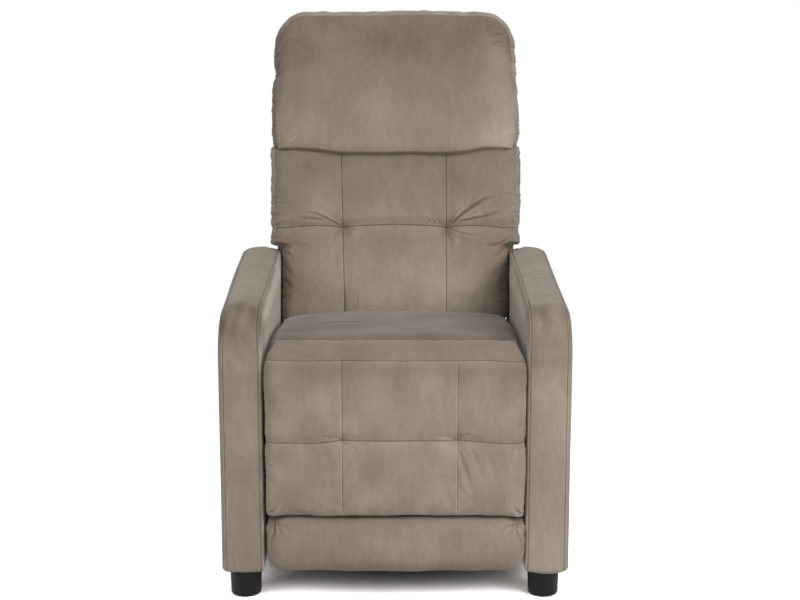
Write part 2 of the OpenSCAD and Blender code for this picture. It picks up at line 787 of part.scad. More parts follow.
// Saddles that hold each spring's first and last bar on the seat frame
module spring_clips() {
    wire_room = wire_r + pivot_clear;
    color(black) for (k = [0 : spring_count - 1], y = [spring_front_y, spring_rear_y])
        translate([spring_x(k) - clip_w / 2, y, seat_top_z]) difference() {
            translate([0, -clip_d / 2, 0]) cube([clip_w, clip_d, 2 * wire_room + clip_t]);
            translate([-overrun, -wire_room, -overrun])
                cube([clip_w + 2 * overrun, 2 * wire_room, 2 * wire_room + overrun]);
        }
}

// Covered strip that closes the front of the seat above the footrest links
module seat_front_border() {
    h = seat_rail_h + border_drop;
    color(velvet) translate([-border_half, seat_frame_front_y - border_t, seat_top_z - h])
        cube([2 * border_half, border_t, h]);
}

module seat_cushion() {
    l = cushion_rear_y - cushion_front_y;
    slope = seat_rear_h - seat_front_h;
    face = [for (s = cushion_face_shares)
        let (h = seat_front_h + slope * s[0] + cushion_crown * sin(180 * s[0]) - cushion_low_z)
        [-s[1] * h, cushion_front_y + s[0] * l]];
    base = flat_base(len(face), 0, cushion_front_y + cushion_gap, cushion_rear_y - cushion_gap);
    color(velvet) translate([0, 0, cushion_low_z]) rotate([-90, 0, 0])
        cushion(face, base, 0, seat_front_h - cushion_low_z, seat_half, function (y) seat_half,
            cushion_front_y, cushion_rear_y, cushion_edge_r, cushion_corner_r, cushion_corner_r);
}

// Back

module in_back() {
    translate([0, back_pivot[0], back_pivot[1]]) rotate([-back_rake, 0, 0]) children();
}

// Half width of the back at a height: narrow between the plates, then between the arms, then over them
function outer_width(z) = back_half + shoulder_w * ease((z - shoulder_low) / (shoulder_high - shoulder_low));
function lumbar_width(z) = outer_width(z)
    - (back_half - lumbar_foot_half) * (1 - ease((z - lumbar_foot_z) / (lumbar_waist_z - lumbar_foot_z)));

module back_link(side) {
    color(steel) on_side(side) link_plate(cross_layer, [crank_low, crank_high]);
}

module back_link_pivots() {
    color(bright_steel) both_sides() {
        rivet(crank_low, hanger_layer, cross_layer);
        rivet(crank_high, swing_layer, cross_layer);
    }
}

function to_back(p) = let (d = p - back_pivot)
    [d[0] * cos(back_rake) - d[1] * sin(back_rake), d[0] * sin(back_rake) + d[1] * cos(back_rake)];
bracket_y = frame_front + bracket_w;
function bracket_bolt_places() = [for (share = bracket_bolt_shares) [bracket_y, share * bracket_top]];

module back_bracket(side) {
    crank = to_back(crank_high);
    turn = [bracket_y, lumbar_waist_z];
    color(steel) on_side(side) in_back() across(layer_x(swing_layer), plate_t) difference() {
        union() {
            bar([0, 0], turn, bracket_w);
            bar(turn, [bracket_y, bracket_top], bracket_w);
            bar(crank, [0, crank[1]], boss_r);
        }
        bores([[0, 0], crank]);
        bolt_bores(bracket_bolt_places());
    }
}

module back_frame() {
    low = back_frame_low;
    h = back_frame_top - low;
    step = (h - back_rail_h) / (back_rail_count - 1);
    rail_half = back_frame_half - stile_w + overrun;
    color(timber) in_back() difference() {
        union() {
            for (side = sides) on_side(side)
                translate([back_frame_half - stile_w, frame_front, low]) cube([stile_w, back_frame_t, h]);
            for (k = [0 : back_rail_count - 1])
                translate([-rail_half, frame_front, low + k * step])
                    cube([2 * rail_half, back_rail_t, back_rail_h]);
        }
        both_sides() across(back_frame_half - back_bolt_l - overrun, back_bolt_l + 2 * overrun)
            bolt_bores(bracket_bolt_places());
    }
}

module back_bolts() {
    seat_x = layer_x(swing_layer) + plate_t;
    color(bright_steel) both_sides() in_back() for (p = bracket_bolt_places()) {
        across(seat_x, bolt_head_t) translate(p) circle(bolt_head_r, $fn = 6);
        across(seat_x - back_bolt_l, back_bolt_l + bolt_head_t / 2) translate(p) circle(bolt_r);
    }
}

module back_webbing() {
    low = back_frame_low + back_rail_h;
    step = (back_frame_top - back_rail_h - low) / web_count;
    half = back_frame_half - web_inset;
    color(black) in_back() for (k = [0 : web_count - 1])
        translate([-half, frame_front - flush_gap - web_t, low + (k + 1 / 2) * step - web_w / 2])
            cube([2 * half, web_t, web_w]);
}

module lumbar_cushion() {
    face = seamed_chain(lumbar_low_shares, lumbar_high_shares, pad_plane, lumbar_t, lumbar_low, lumbar_seam_z,
        lumbar_top);
    base = flat_base(len(face), pad_plane, lumbar_low, lumbar_top);
    color(velvet) in_back() cushion(face, base, pad_plane, lumbar_t, back_half, function (z) lumbar_width(z),
        lumbar_low, lumbar_top, back_edge_r, lumbar_corner_r, lumbar_corner_r, lumbar_seam_x, lumbar_seam_z,
        lumbar_groove, lumbar_tuft);
}

module headrest_cushion() {
    high = back_l - headrest_top_drop;
    half = back_half + shoulder_w - headrest_inset;
    face = chain(headrest_face_shares, pad_plane, headrest_t, headrest_low, high);
    base = flat_base(len(face), pad_plane, headrest_low, high);
    color(velvet) in_back() cushion(face, base, pad_plane, headrest_t, half, function (z) half,
        headrest_low, high, back_edge_r, headrest_low_r, back_corner_r);
}

// Padded shell behind and round the back frame. It is drawn facing forwards and turned round
module outer_back() {
    low = outer_back_low;
    face = [for (p = outer_face) [-p[0], p[1]]];
    base = flat_base(len(face), -frame_front, low, back_l);
    room = layer_x(swing_layer) + plate_t + bolt_head_t + flush_gap;
    color(velvet) in_back() difference() {
        mirror([0, 1, 0]) cushion(face, base, -frame_front, outer_back_depth, back_half,
            function (z) outer_width(z), low, back_l, outer_edge_r, outer_low_r, back_corner_r);
        translate([-room, frame_front - overrun, low - overrun])
            cube([2 * room, back_frame_t + overrun + flush_gap, back_frame_top + flush_gap - low + overrun]);
    }
}

// Footrest and its linkage

module front_link(side) {
    color(steel) on_side(side) link_plate(swing_layer, [front_link_top, front_link_knee, front_link_end]);
}

// Tube that makes the two front links swing as one
module cross_tube() {
    r = cross_tube_d / 2;
    half = layer_x(swing_layer);
    color(steel) across(-half, 2 * half) translate(cross_tube_at) difference() {
        circle(r);
        circle(r - cross_tube_wall);
    }
}

module front_link_pivots() {
    color(bright_steel) both_sides()
        for (p = [front_link_knee, front_link_end]) rivet(p, swing_layer, cross_layer);
}

module rear_link(side) {
    color(steel) on_side(side) link_plate(swing_layer, [rear_link_top, rear_link_end]);
}

module outer_link(side) {
    color(steel) on_side(side) link_plate(cross_layer, [rear_link_end, front_link_knee, footrest_pivot]);
}

module outer_link_pivots() {
    color(bright_steel) both_sides() {
        rivet(rear_link_end, swing_layer, cross_layer);
        rivet(footrest_pivot, cross_layer, bracket_layer);
    }
}

module inner_link(side) {
    color(steel) on_side(side) link_plate(cross_layer, [front_link_end, footrest_low_pivot]);
}

module footrest_pivots() {
    color(bright_steel) both_sides() rivet(footrest_low_pivot, cross_layer, bracket_layer);
}

bracket_low_z = footrest_low_pivot[1] - bracket_foot;
bracket_bolt_x = layer_x(bracket_layer) - (bracket_flange_w - plate_t) / 2;
function board_bolt_places() =
    [for (z = [bracket_low_z + board_bolt_rise, footrest_pivot[1] - bracket_pitch / 2])
        [bracket_bolt_x, board_rear_y, z]];

module board_holes() {
    for (p = board_bolt_places()) translate(p - [0, board_bolt_l + overrun, 0])
        rotate([-90, 0, 0]) cylinder(r = bolt_r + bolt_clear, h = board_bolt_l + plate_t + 2 * overrun);
}

module footrest_bracket(side) {
    h = footrest_pivot[1] + bracket_end - bracket_low_z;
    color(steel) on_side(side) difference() {
        union() {
            across(layer_x(bracket_layer), plate_t) translate([board_rear_y, bracket_low_z])
                square([bracket_strip_w, h]);
            translate([layer_x(bracket_layer) + plate_t - bracket_flange_w, board_rear_y, bracket_low_z])
                cube([bracket_flange_w, plate_t, h]);
        }
        across(layer_x(bracket_layer) - overrun, plate_t + 2 * overrun)
            bores([footrest_pivot, footrest_low_pivot]);
        board_holes();
    }
}

module footrest_bolts() {
    color(bright_steel) both_sides() for (p = board_bolt_places())
        translate(p + [0, plate_t, 0]) rotate([90, 0, 0]) bolt_up(board_bolt_l + plate_t);
}

// Its upper corners are rounded, because the pad's rounded corners lie over them
module footrest_board() {
    r = board_corner_r;
    color(timber) difference() {
        translate([0, board_rear_y, 0]) rotate([90, 0, 0]) linear_extrude(footrest_board_t) hull() {
            translate([-board_half, board_low_z]) square([2 * board_half, board_top_z - board_low_z - r]);
            for (x = [-1, 1]) translate([x * (board_half - r), board_top_z - r]) circle(r);
        }
        both_sides() board_holes();
    }
}

// Tufted pad in front of the board. Its top turns over the board's upper edge
module footrest_pad() {
    plane = board_front_y - flush_gap;
    over = board_top_z + flush_gap;
    face = seamed_chain(pad_low_shares, pad_high_shares, plane, footrest_pad_t, pad_low_z, pad_seam_z,
        pad_top_z);
    up = flat_base(len(face) - pad_turn_rows, plane, pad_low_z, over + base_inset);
    turn_l = footrest_board_t - pad_turn_gap;
    back = [for (k = [1 : pad_turn_rows]) [plane + turn_l * k / pad_turn_rows, over]];
    color(velvet) cushion(face, concat(up, back), plane, footrest_pad_t, seat_half, function (z) seat_half,
        pad_low_z, pad_top_z, pad_edge_r, pad_corner_r, pad_high_corner_r, pad_seam_x, pad_seam_z, pad_groove,
        pad_tuft);
}

module footrest_roll() {
    plane = board_front_y - flush_gap;
    face = chain(roll_face_shares, plane, roll_t, roll_low_z, roll_top_z);
    base = flat_base(len(face), plane, roll_low_z, roll_top_z);
    color(velvet) cushion(face, base, plane, roll_t, seat_half, function (z) seat_half, roll_low_z, roll_top_z,
        pad_edge_r, roll_low_r, roll_high_r);
}

arm_frame(left);  // arm_frame_left
arm_frame(right);  // arm_frame_right
arm_upholstery(left);  // arm_upholstery_left
arm_upholstery(right);  // arm_upholstery_right
feet();
foot_bolts();
rail(front_rail_y);  // front_rail
rail(rear_rail_y);  // rear_rail
rear_panel();
dust_cover();
corner_brackets();
base_plate(left);  // base_plate_left
base_plate(right);  // base_plate_right
base_pivots();
arm_bolts();
front_hanger(left);  // front_hanger_left
front_hanger(right);  // front_hanger_right
rear_hanger(left);  // rear_hanger_left
rear_hanger(right);  // rear_hanger_right
seat_frame();
seat_springs();
spring_clips();
seat_cushion();
seat_front_border();
seat_plate(left);  // seat_plate_left
seat_plate(right);  // seat_plate_right
seat_pivots();
seat_bolts();
back_link(left);  // back_link_left
back_link(right);  // back_link_right
back_link_pivots();
back_frame();
back_webbing();
lumbar_cushion();
headrest_cushion();
outer_back();
back_bracket(left);  // back_bracket_left
back_bracket(right);  // back_bracket_right
back_bolts();
front_link(left);  // front_link_left
front_link(right);  // front_link_right
cross_tube();
front_link_pivots();
rear_link(left);  // rear_link_left
rear_link(right);  // rear_link_right
outer_link(left);  // outer_link_left
outer_link(right);  // outer_link_right
outer_link_pivots();
inner_link(left);  // inner_link_left
inner_link(right);  // inner_link_right
footrest_board();
footrest_pad();
footrest_roll();
footrest_bracket(left);  // footrest_bracket_left
footrest_bracket(right);  // footrest_bracket_right
footrest_pivots();
footrest_bolts();
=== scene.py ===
"""Looks of the push-back recliner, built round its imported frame. Shapes are worked out in millimetres."""

import json
import math

import bpy
import numpy as np
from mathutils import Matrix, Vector


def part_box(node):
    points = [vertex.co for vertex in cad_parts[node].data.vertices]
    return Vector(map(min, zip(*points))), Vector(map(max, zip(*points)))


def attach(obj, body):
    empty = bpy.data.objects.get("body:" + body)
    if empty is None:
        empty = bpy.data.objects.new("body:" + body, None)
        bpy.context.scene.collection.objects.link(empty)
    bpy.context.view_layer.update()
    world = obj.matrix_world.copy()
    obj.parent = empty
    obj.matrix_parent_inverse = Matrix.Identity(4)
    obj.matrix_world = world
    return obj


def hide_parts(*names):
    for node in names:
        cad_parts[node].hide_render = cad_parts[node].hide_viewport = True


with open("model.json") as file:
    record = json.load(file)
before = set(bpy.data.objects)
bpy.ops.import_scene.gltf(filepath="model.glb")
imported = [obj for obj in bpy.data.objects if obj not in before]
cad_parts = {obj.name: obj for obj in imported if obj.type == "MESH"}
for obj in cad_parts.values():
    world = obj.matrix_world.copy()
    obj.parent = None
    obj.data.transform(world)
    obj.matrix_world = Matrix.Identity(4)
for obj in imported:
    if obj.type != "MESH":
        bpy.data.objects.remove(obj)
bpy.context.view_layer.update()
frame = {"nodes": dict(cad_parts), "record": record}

MM = 0.001


def node_box(node):
    """A CAD node's lowest and highest corner in millimetres."""
    low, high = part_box(node)
    return np.array(low) / MM, np.array(high) / MM


# ---- sizes shared with the CAD source

ARM_LOW, ARM_HIGH = node_box("arm_upholstery_right")
INNER_HALF = ARM_LOW[0]
ARM_W = ARM_HIGH[0] - ARM_LOW[0]
ARM_FRONT_Y, ARM_REAR_Y = ARM_LOW[1], ARM_HIGH[1]
FOOT_H = ARM_LOW[2]
ARM_FRONT_H, ARM_REAR_H = 552, 578
ARM_FRONT_R, ARM_REAR_R, ARM_LOW_R = 85, 80, 8
SEAT_HALF = INNER_HALF - 4
BACK_HALF = SEAT_HALF - 2
BACK_PIVOT = np.array([141.232, 362.0])
BACK_RAKE = math.radians(15)
BACK_L = 735
SHOULDER = 20
SHOULDER_LOW = (ARM_REAR_H - BACK_PIVOT[1]) / math.cos(BACK_RAKE) + 6.5
FRAME_FRONT = -5
PAD_PLANE = -7
BOARD_LOW = node_box("footrest_board")[0]
ROLL_LOW = node_box("footrest_roll")[0]
SEAT_FRONT_H = 487
SEAT_LOW, SEAT_HIGH = node_box("seat_cushion")
PANEL_LOW, PANEL_HIGH = node_box("rear_panel")
BORDER_LOW, BORDER_HIGH = node_box("seat_front_border")
HEAD_T, LUMBAR_T, PAD_T, ROLL_T = 74, 58, 75, 71


# ---- small shape tools

def clamp01(v):
    return np.clip(v, 0, 1)


def ease(v):
    t = clamp01(v)
    return t * t * (3 - 2 * t)


def bump(d, w):
    """1 at d = 0, falling smoothly to 0 at w."""
    return (1 - clamp01(np.abs(d) / w) ** 2) ** 2


def gauss(d, w):
    return np.exp(-((d / w) ** 2))


def unit(v):
    return v / np.maximum(np.linalg.norm(v, axis=-1, keepdims=True), 1e-9)


def travelled(line):
    """How far along a line each of its points lies."""
    return np.concatenate([[0], np.cumsum(np.linalg.norm(np.diff(line, axis=0), axis=1))])


def outward_of(loop, centre, reach=1):
    """Unit vectors square to a closed flat line, away from its centre."""
    way = np.roll(loop, -reach, 0) - np.roll(loop, reach, 0)
    outward = unit(np.column_stack([way[:, 1], -way[:, 0]]))
    return -outward if np.sum(outward * (loop - centre)) < 0 else outward


def rim_of(rows, cols):
    """Indices round the edge of a grid."""
    index = np.arange(rows * cols).reshape(rows, cols)
    return np.concatenate([index[0, :], index[1:, -1], index[-1, -2::-1], index[-2:0:-1, 0]])


def edge_fall(x, w, r):
    """How far an edge of radius r has rounded off at x, when it ends at w."""
    u = clamp01((np.abs(x) - w + r) / r)
    return r * (1 - np.sqrt(1 - u**2)) if r > 0 else 0 * x


RIPPLE_WAVES = 9


def ripple(a, b, scale, seed):
    """Smooth unevenness between about -1 and 1, of a typical length scale."""
    rng = np.random.default_rng(seed)
    total = np.zeros(np.broadcast(a, b).shape)
    for _ in range(RIPPLE_WAVES):
        way, phase, size = rng.uniform(0, 2 * math.pi), rng.uniform(0, 2 * math.pi), rng.uniform(0.6, 1.7)
        k = 2 * math.pi / (scale * size)
        total += np.sin(k * (math.cos(way) * a + math.sin(way) * b) + phase)
    return total / math.sqrt(RIPPLE_WAVES)


def smooth_line(points, per_span=24):
    """A smooth line through points."""
    def between(u, v, i, j):
        return ((t[j] - s) * u + (s - t[i]) * v) / (t[j] - t[i])

    p = np.array(points, float)
    p = np.vstack([2 * p[0] - p[1], p, 2 * p[-1] - p[-2]])
    out = []
    for i in range(1, len(p) - 2):
        a, b, c, d = p[i - 1 : i + 3]
        t = [0.0]
        for u, v in ((a, b), (b, c), (c, d)):
            t.append(t[-1] + max(np.linalg.norm(v - u), 1e-6) ** 0.5)
        for s in np.linspace(t[1], t[2], per_span, endpoint=False):
            ab, bc, cd = between(a, b, 0, 1), between(b, c, 1, 2), between(c, d, 2, 3)
            out.append(between(between(ab, bc, 0, 2), between(bc, cd, 1, 3), 1, 2))
    out.append(p[-2])
    return np.array(out)


def respaced(line, places, axis=0, coarse=5.5, fine=1.3, reach=7.0):
    """The line again, with its points close where its values along an axis are near some places, and wide elsewhere."""
    line = np.asarray(line, float)
    line = line.reshape(len(line), -1)
    seg = np.linalg.norm(np.diff(line, axis=0), axis=1)
    value = ((line[1:] + line[:-1]) / 2)[:, axis]
    away = np.min([np.abs(value - p) for p in places], axis=0)
    total = np.concatenate([[0], np.cumsum(seg / (fine + (coarse - fine) * ease((away - reach) / 22.0)))])
    at = np.linspace(0, total[-1], max(2, int(math.ceil(total[-1])) + 1))
    return np.column_stack([np.interp(at, total, line[:, k]) for k in range(line.shape[1])])


def grid_normals(points):
    """Unit normals of a grid of points, pointing to the side that its rows and columns turn to."""
    return unit(np.cross(np.gradient(points, axis=1), np.gradient(points, axis=0)))


def make_object(name, points, faces, body, node, seam, tint):
    """A padded velvet piece from points in millimetres, riding on a body, in the place of a CAD node."""
    mesh = bpy.data.meshes.new(name)
    mesh.from_pydata((np.asarray(points) * MM).tolist(), [], [list(map(int, f)) for f in faces])
    mesh.validate()
    mesh.shade_smooth()
    for key, kind, field, values in (("seam", "FLOAT_VECTOR", "vector", seam), ("tint", "FLOAT", "value", tint)):
        mesh.attributes.new(key, kind, "POINT").data.foreach_set(field, np.asarray(values, np.float32).ravel())
    mesh.materials.append(VELVET)
    piece = bpy.data.objects.new(name, mesh)
    bpy.context.scene.collection.objects.link(piece)
    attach(piece, body)
    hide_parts(node)


def grid_faces(rows, cols, start=0, closed=False):
    faces = []
    for i in range(rows - 1):
        for j in range(cols if closed else cols - 1):
            k = (j + 1) % cols
            faces.append((start + i * cols + j, start + i * cols + k, start + (i + 1) * cols + k,
                    start + (i + 1) * cols + j))
    return faces


# ---- materials

def new_material(name):
    """A material, the words for its nodes, its shader and the object's coordinates."""
    material = bpy.data.materials.new(name)
    material.use_nodes = True
    n = Nodes(material.node_tree)
    return material, n, n.tree.nodes["Principled BSDF"], n.add("ShaderNodeTexCoord").outputs["Object"]


class Nodes:
    """Short words for building a node tree."""

    def __init__(self, tree):
        self.tree = tree

    def add(self, kind, **settings):
        node = self.tree.nodes.new(kind)
        for name, value in settings.items():
            setattr(node, name, value)
        return node

    def link(self, source, target):
        self.tree.links.new(source, target)

    def put(self, socket, value):
        if isinstance(value, bpy.types.NodeSocket):
            self.link(value, socket)
        else:
            socket.default_value = value

    def math(self, operation, a, b=0.0, c=0.0):
        node = self.add("ShaderNodeMath", operation=operation)
        for socket, value in zip(node.inputs, (a, b, c)):
            self.put(socket, value)
        return node.outputs[0]

    def plus(self, a, b):
        return self.math("ADD", a, b)

    def minus(self, a, b):
        return self.math("SUBTRACT", a, b)

    def times(self, a, b):
        return self.math("MULTIPLY", a, b)

    def seen(self):
        """1 for what the camera, a mirror or glass looks at, and 0 for light."""
        path = self.add("ShaderNodeLightPath").outputs
        mirrored = self.math("MAXIMUM", path["Is Glossy Ray"], path["Is Transmission Ray"])
        return self.math("MAXIMUM", path["Is Camera Ray"], mirrored)

    def either(self, factor, a, b):
        """One shader where the factor is 0 and the other where it is 1."""
        node = self.add("ShaderNodeMixShader")
        for socket, source in zip(node.inputs, (factor, a, b)):
            self.link(source, socket)
        return node.outputs[0]

    def noise(self, vector, scale, detail=2.0, roughness=0.5, distortion=0.0):
        node = self.add("ShaderNodeTexNoise")
        self.put(node.inputs["Vector"], vector)
        for name, value in (("Scale", scale), ("Detail", detail), ("Roughness", roughness),
                ("Distortion", distortion)):
            self.put(node.inputs[name], value)
        return node.outputs["Fac"]

    def range(self, value, a, b, low=0.0, high=1.0):
        node = self.add("ShaderNodeMapRange")
        for name, v in (("Value", value), ("From Min", a), ("From Max", b), ("To Min", low), ("To Max", high)):
            self.put(node.inputs[name], v)
        return node.outputs[0]

    def mix(self, factor, a, b, blend="MIX"):
        node = self.add("ShaderNodeMix", data_type="RGBA", blend_type=blend)
        self.put(node.inputs["Factor"], factor)
        self.put(node.inputs[6], a)
        self.put(node.inputs[7], b)
        return node.outputs[2]

    def stretched(self, vector, scale):
        node = self.add("ShaderNodeMapping")
        self.put(node.inputs["Vector"], vector)
        node.inputs["Scale"].default_value = scale
        return node.outputs["Vector"]

    def bump(self, height, distance, strength=1.0):
        node = self.add("ShaderNodeBump")
        self.put(node.inputs["Height"], height)
        node.inputs["Distance"].default_value = distance
        node.inputs["Strength"].default_value = strength
        return node.outputs["Normal"]


def linear(r, g, b):
    """An sRGB colour of 0 to 255 as Blender's linear one."""
    return (tuple((c / 12.92 if c <= 0.04045 else ((c + 0.055) / 1.055) ** 2.4) for c in (r / 255, g / 255, b / 255))
            + (1,))


def velvet_material():
    material, n, shader, place = new_material("velvet")
    tint = n.add("ShaderNodeAttribute", attribute_name="tint").outputs["Fac"]
    seam = n.add("ShaderNodeAttribute", attribute_name="seam").outputs["Vector"]
    parts = n.add("ShaderNodeSeparateXYZ")
    n.link(seam, parts.inputs[0])
    off, along, kind = parts.outputs
    # the lean of the pile: wide soft areas, brush strokes, finger marks and single tufts
    wide = n.noise(place, 4.2, 1, 0.4, 0.6)
    strokes = n.noise(n.stretched(place, (20, 20, 7)), 1.0, 2, 0.5, 0.8)
    marks = n.noise(n.stretched(place, (110, 110, 34)), 1.0, 3, 0.6, 0.5)
    pile = n.noise(place, 850, 2, 0.7)
    shade = n.plus(n.range(wide, 0.3, 0.7, -0.02, 0.02), n.range(strokes, 0.35, 0.65, -0.018, 0.018))
    shade = n.plus(shade, n.range(marks, 0.35, 0.65, -0.018, 0.018))
    shade = n.plus(shade, n.range(pile, 0.25, 0.75, -0.045, 0.045))
    # add each piece's tint: partly the lean of the pile, partly painted light and shade
    shade = n.plus(shade, tint)
    # plain seam: a painted dark hairline of shade in the seam, between two lighter edges
    aside = n.math("ABSOLUTE", off)
    topstitched = n.times(n.range(kind, 0.45, 0.55), n.range(kind, 1.45, 1.55, 1.0, 0.0))
    drawn = n.range(kind, 1.45, 1.55)
    line = n.range(aside, 0.35, 1.0, 1.0, 0.0)
    rim = n.times(n.range(aside, 0.9, 1.7), n.range(aside, 2.2, 4.5, 1.0, 0.0))
    # topstitching: two rows beside the seam
    beat = n.range(n.math("PINGPONG", along, 2.1), 0.4, 0.75)
    row = n.range(n.math("ABSOLUTE", n.minus(aside, 3.2)), 0.3, 0.75, 1.0, 0.0)
    stitch = n.times(n.times(row, beat), topstitched)
    # channel seam: a lighter thread line of stitches, partly a painted highlight on the groove's lit side, with a thin
    # painted shadow beside it
    thread = n.range(n.math("ABSOLUTE", n.plus(off, 0.8)), 0.35, 1.2, 1.0, 0.0)
    under = n.range(n.math("ABSOLUTE", n.minus(off, 0.9)), 0.25, 0.9, 1.0, 0.0)
    channel = n.times(n.minus(n.times(thread, n.range(beat, 0, 1, 0.07, 0.13)),
            n.times(under, 0.13)), drawn)
    plain = n.times(n.minus(n.times(rim, 0.03), n.times(line, 0.16)),
            n.minus(1.0, drawn))
    shade = n.plus(shade, n.plus(channel, plain))
    shade = n.plus(shade, n.times(stitch, 0.13))
    low = n.mix(n.range(shade, -0.3, 0.0), linear(84, 73, 63), linear(140, 127, 114))
    full = n.mix(n.range(shade, 0.0, 0.3), low, linear(192, 181, 167))
    n.link(full, shader.inputs["Base Color"])
    for name, value in (("Roughness", 0.95), ("Specular IOR Level", 0.12), ("Sheen Weight", 0.45),
            ("Sheen Roughness", 0.32), ("Sheen Tint", linear(224, 222, 220))):
        shader.inputs[name].default_value = value
    height = n.plus(n.times(pile, 0.35), n.times(n.noise(place, 240, 3, 0.6), 0.6))
    height = n.plus(height, n.times(stitch, 1.4))
    height = n.minus(height, n.times(line, n.range(drawn, 0, 1, 1.2, 0.5)))
    n.link(n.bump(height, 0.0006), shader.inputs["Normal"])
    return material


def plastic_material():
    material, n, shader, place = new_material("moulded_plastic")
    grain = n.noise(place, 700, 3, 0.6)
    scuffs = n.noise(place, 30, 4, 0.65, 0.4)
    n.link(n.mix(n.range(scuffs, 0.45, 0.75), linear(9, 9, 9), linear(17, 17, 16)), shader.inputs["Base Color"])
    n.link(n.range(scuffs, 0.3, 0.7, 0.5, 0.66), shader.inputs["Roughness"])
    shader.inputs["Specular IOR Level"].default_value = 0.15
    n.link(n.bump(grain, 0.00015), shader.inputs["Normal"])
    return material


def steel_material(name, dark, light, metallic, rough):
    material, n, shader, place = new_material(name)
    wear = n.noise(place, 45, 5, 0.65, 0.3)
    rolled = n.noise(n.stretched(place, (900, 60, 60)), 1.0, 2, 0.5)
    n.link(n.mix(n.range(wear, 0.4, 0.7), dark, light), shader.inputs["Base Color"])
    shader.inputs["Metallic"].default_value = metallic
    n.link(n.range(wear, 0.3, 0.7, rough, rough + 0.18), shader.inputs["Roughness"])
    n.link(n.bump(n.plus(wear, n.times(rolled, 0.4)), 0.0001), shader.inputs["Normal"])
    return material


def timber_material():
    material, n, shader, place = new_material("timber")
    grain = n.noise(n.stretched(place, (4, 60, 60)), 1.0, 5, 0.6, 0.9)
    pores = n.noise(n.stretched(place, (30, 900, 900)), 1.0, 2, 0.6)
    colour = n.mix(n.range(grain, 0.3, 0.7), linear(166, 128, 86), linear(212, 178, 132))
    colour = n.mix(n.range(pores, 0.55, 0.75, 0.0, 0.5), colour, linear(130, 96, 62))
    n.link(colour, shader.inputs["Base Color"])
    shader.inputs["Roughness"].default_value = 0.7
    n.link(n.bump(pores, 0.0002), shader.inputs["Normal"])
    return material


def cloth_material(name, dark, light, pitch):
    """Plain woven cloth, its threads pitch millimetres apart."""
    material, n, shader, place = new_material(name)
    parts = n.add("ShaderNodeSeparateXYZ")
    n.link(place, parts.inputs[0])
    waves = [n.math("SINE", n.times(p, 2 * math.pi / (pitch * MM))) for p in parts.outputs]
    weave = n.plus(n.times(waves[0], waves[1]), n.times(waves[0], waves[2]))
    fuzz = n.noise(place, 60, 3, 0.6)
    colour = n.mix(n.range(n.plus(weave, fuzz), -0.6, 1.4), dark, light)
    n.link(colour, shader.inputs["Base Color"])
    shader.inputs["Roughness"].default_value = 0.9
    n.link(n.bump(weave, 0.0003), shader.inputs["Normal"])
    return material


VELVET = velvet_material()
PLASTIC = plastic_material()
DARK_STEEL = steel_material("painted_steel", linear(48, 49, 52), linear(72, 73, 76), 0.6, 0.4)
BRIGHT_STEEL = steel_material("zinc_steel", linear(120, 121, 121), linear(158, 158, 157), 1.0, 0.4)
TIMBER = timber_material()
BLACK_CLOTH = cloth_material("black_cloth", linear(16, 16, 17), linear(44, 44, 46), 1.6)

FINISH_OF_SLOT = {"timber": TIMBER, "dark_steel": DARK_STEEL, "bright_steel": BRIGHT_STEEL,
        "black_plastic": PLASTIC, "black_cloth": BLACK_CLOTH, "velvet": VELVET}
for row in frame["record"]["subparts"]:
    carried = frame["nodes"][row["node"]]
    carried.data.materials.clear()
    carried.data.materials.append(FINISH_OF_SLOT[row["material_slot"]])


# ---- cushions

def back_place(x, d, r):
    """From the back's own frame, d in front of the cushions' plane and r up the lean, to the row frame."""
    y = PAD_PLANE - d
    c, s = math.cos(BACK_RAKE), math.sin(BACK_RAKE)
    return np.stack([x, BACK_PIVOT[0] + y * c + r * s, BACK_PIVOT[1] - y * s + r * c], -1)


def outer_place(x, d, r):
    """The same for the outer back, d behind the back frame's front.

    Its lower corners leave room for the back links, and its shoulders rise towards the front, so that they pass over
    the arms when the back lies down.
    """
    r = r + 30 * (1 - clamp01(d / 95)) * ease((np.abs(x) - 196) / 10) * (1 - ease((r - 42) / 75))
    r = r + 35 * (1 - clamp01(d / 59) ** 1.6) * ease((np.abs(x) - 239) / 5) * (1 - ease((r - 191) / 90))
    return back_place(x, PAD_PLANE - FRAME_FRONT - d, r)


def seat_place(x, d, r):
    return np.stack([x, r, SEAT_LOW[2] + d], -1)


def footrest_place(x, d, r):
    return np.stack([x + 2.2, BOARD_LOW[1] - 0.3 - d, r], -1)


def smooth_interp(x, known, values):
    """Values at x from rows of values at known places, along smooth curves."""
    i = np.clip(np.searchsorted(known, x, side="right") - 1, 0, len(known) - 2)
    h = (known[i + 1] - known[i])[:, None]
    t = clamp01((x - known[i])[:, None] / h)
    slope = np.gradient(values, known, axis=0)
    return ((1 + 2 * t) * (1 - t) ** 2 * values[i] + t * (1 - t) ** 2 * h * slope[i]
            + t**2 * (3 - 2 * t) * values[i + 1] + t**2 * (t - 1) * h * slope[i + 1])


def picked(places, sewn, spacing):
    """Indices of about evenly spaced places, with the sewn ones among them."""
    held = [int(np.argmin(np.abs(places - p))) for p in sewn]
    even = [int(np.argmin(np.abs(places - p))) for p in np.linspace(places[0], places[-1],
            int((places[-1] - places[0]) / spacing) + 1)]
    even = [i for i in even if all(abs(places[i] - places[j]) > 0.5 * spacing for j in held)]
    return np.array(sorted({0, len(places) - 1, *held, *even})), held


CLOTH_SPACING = 10.0


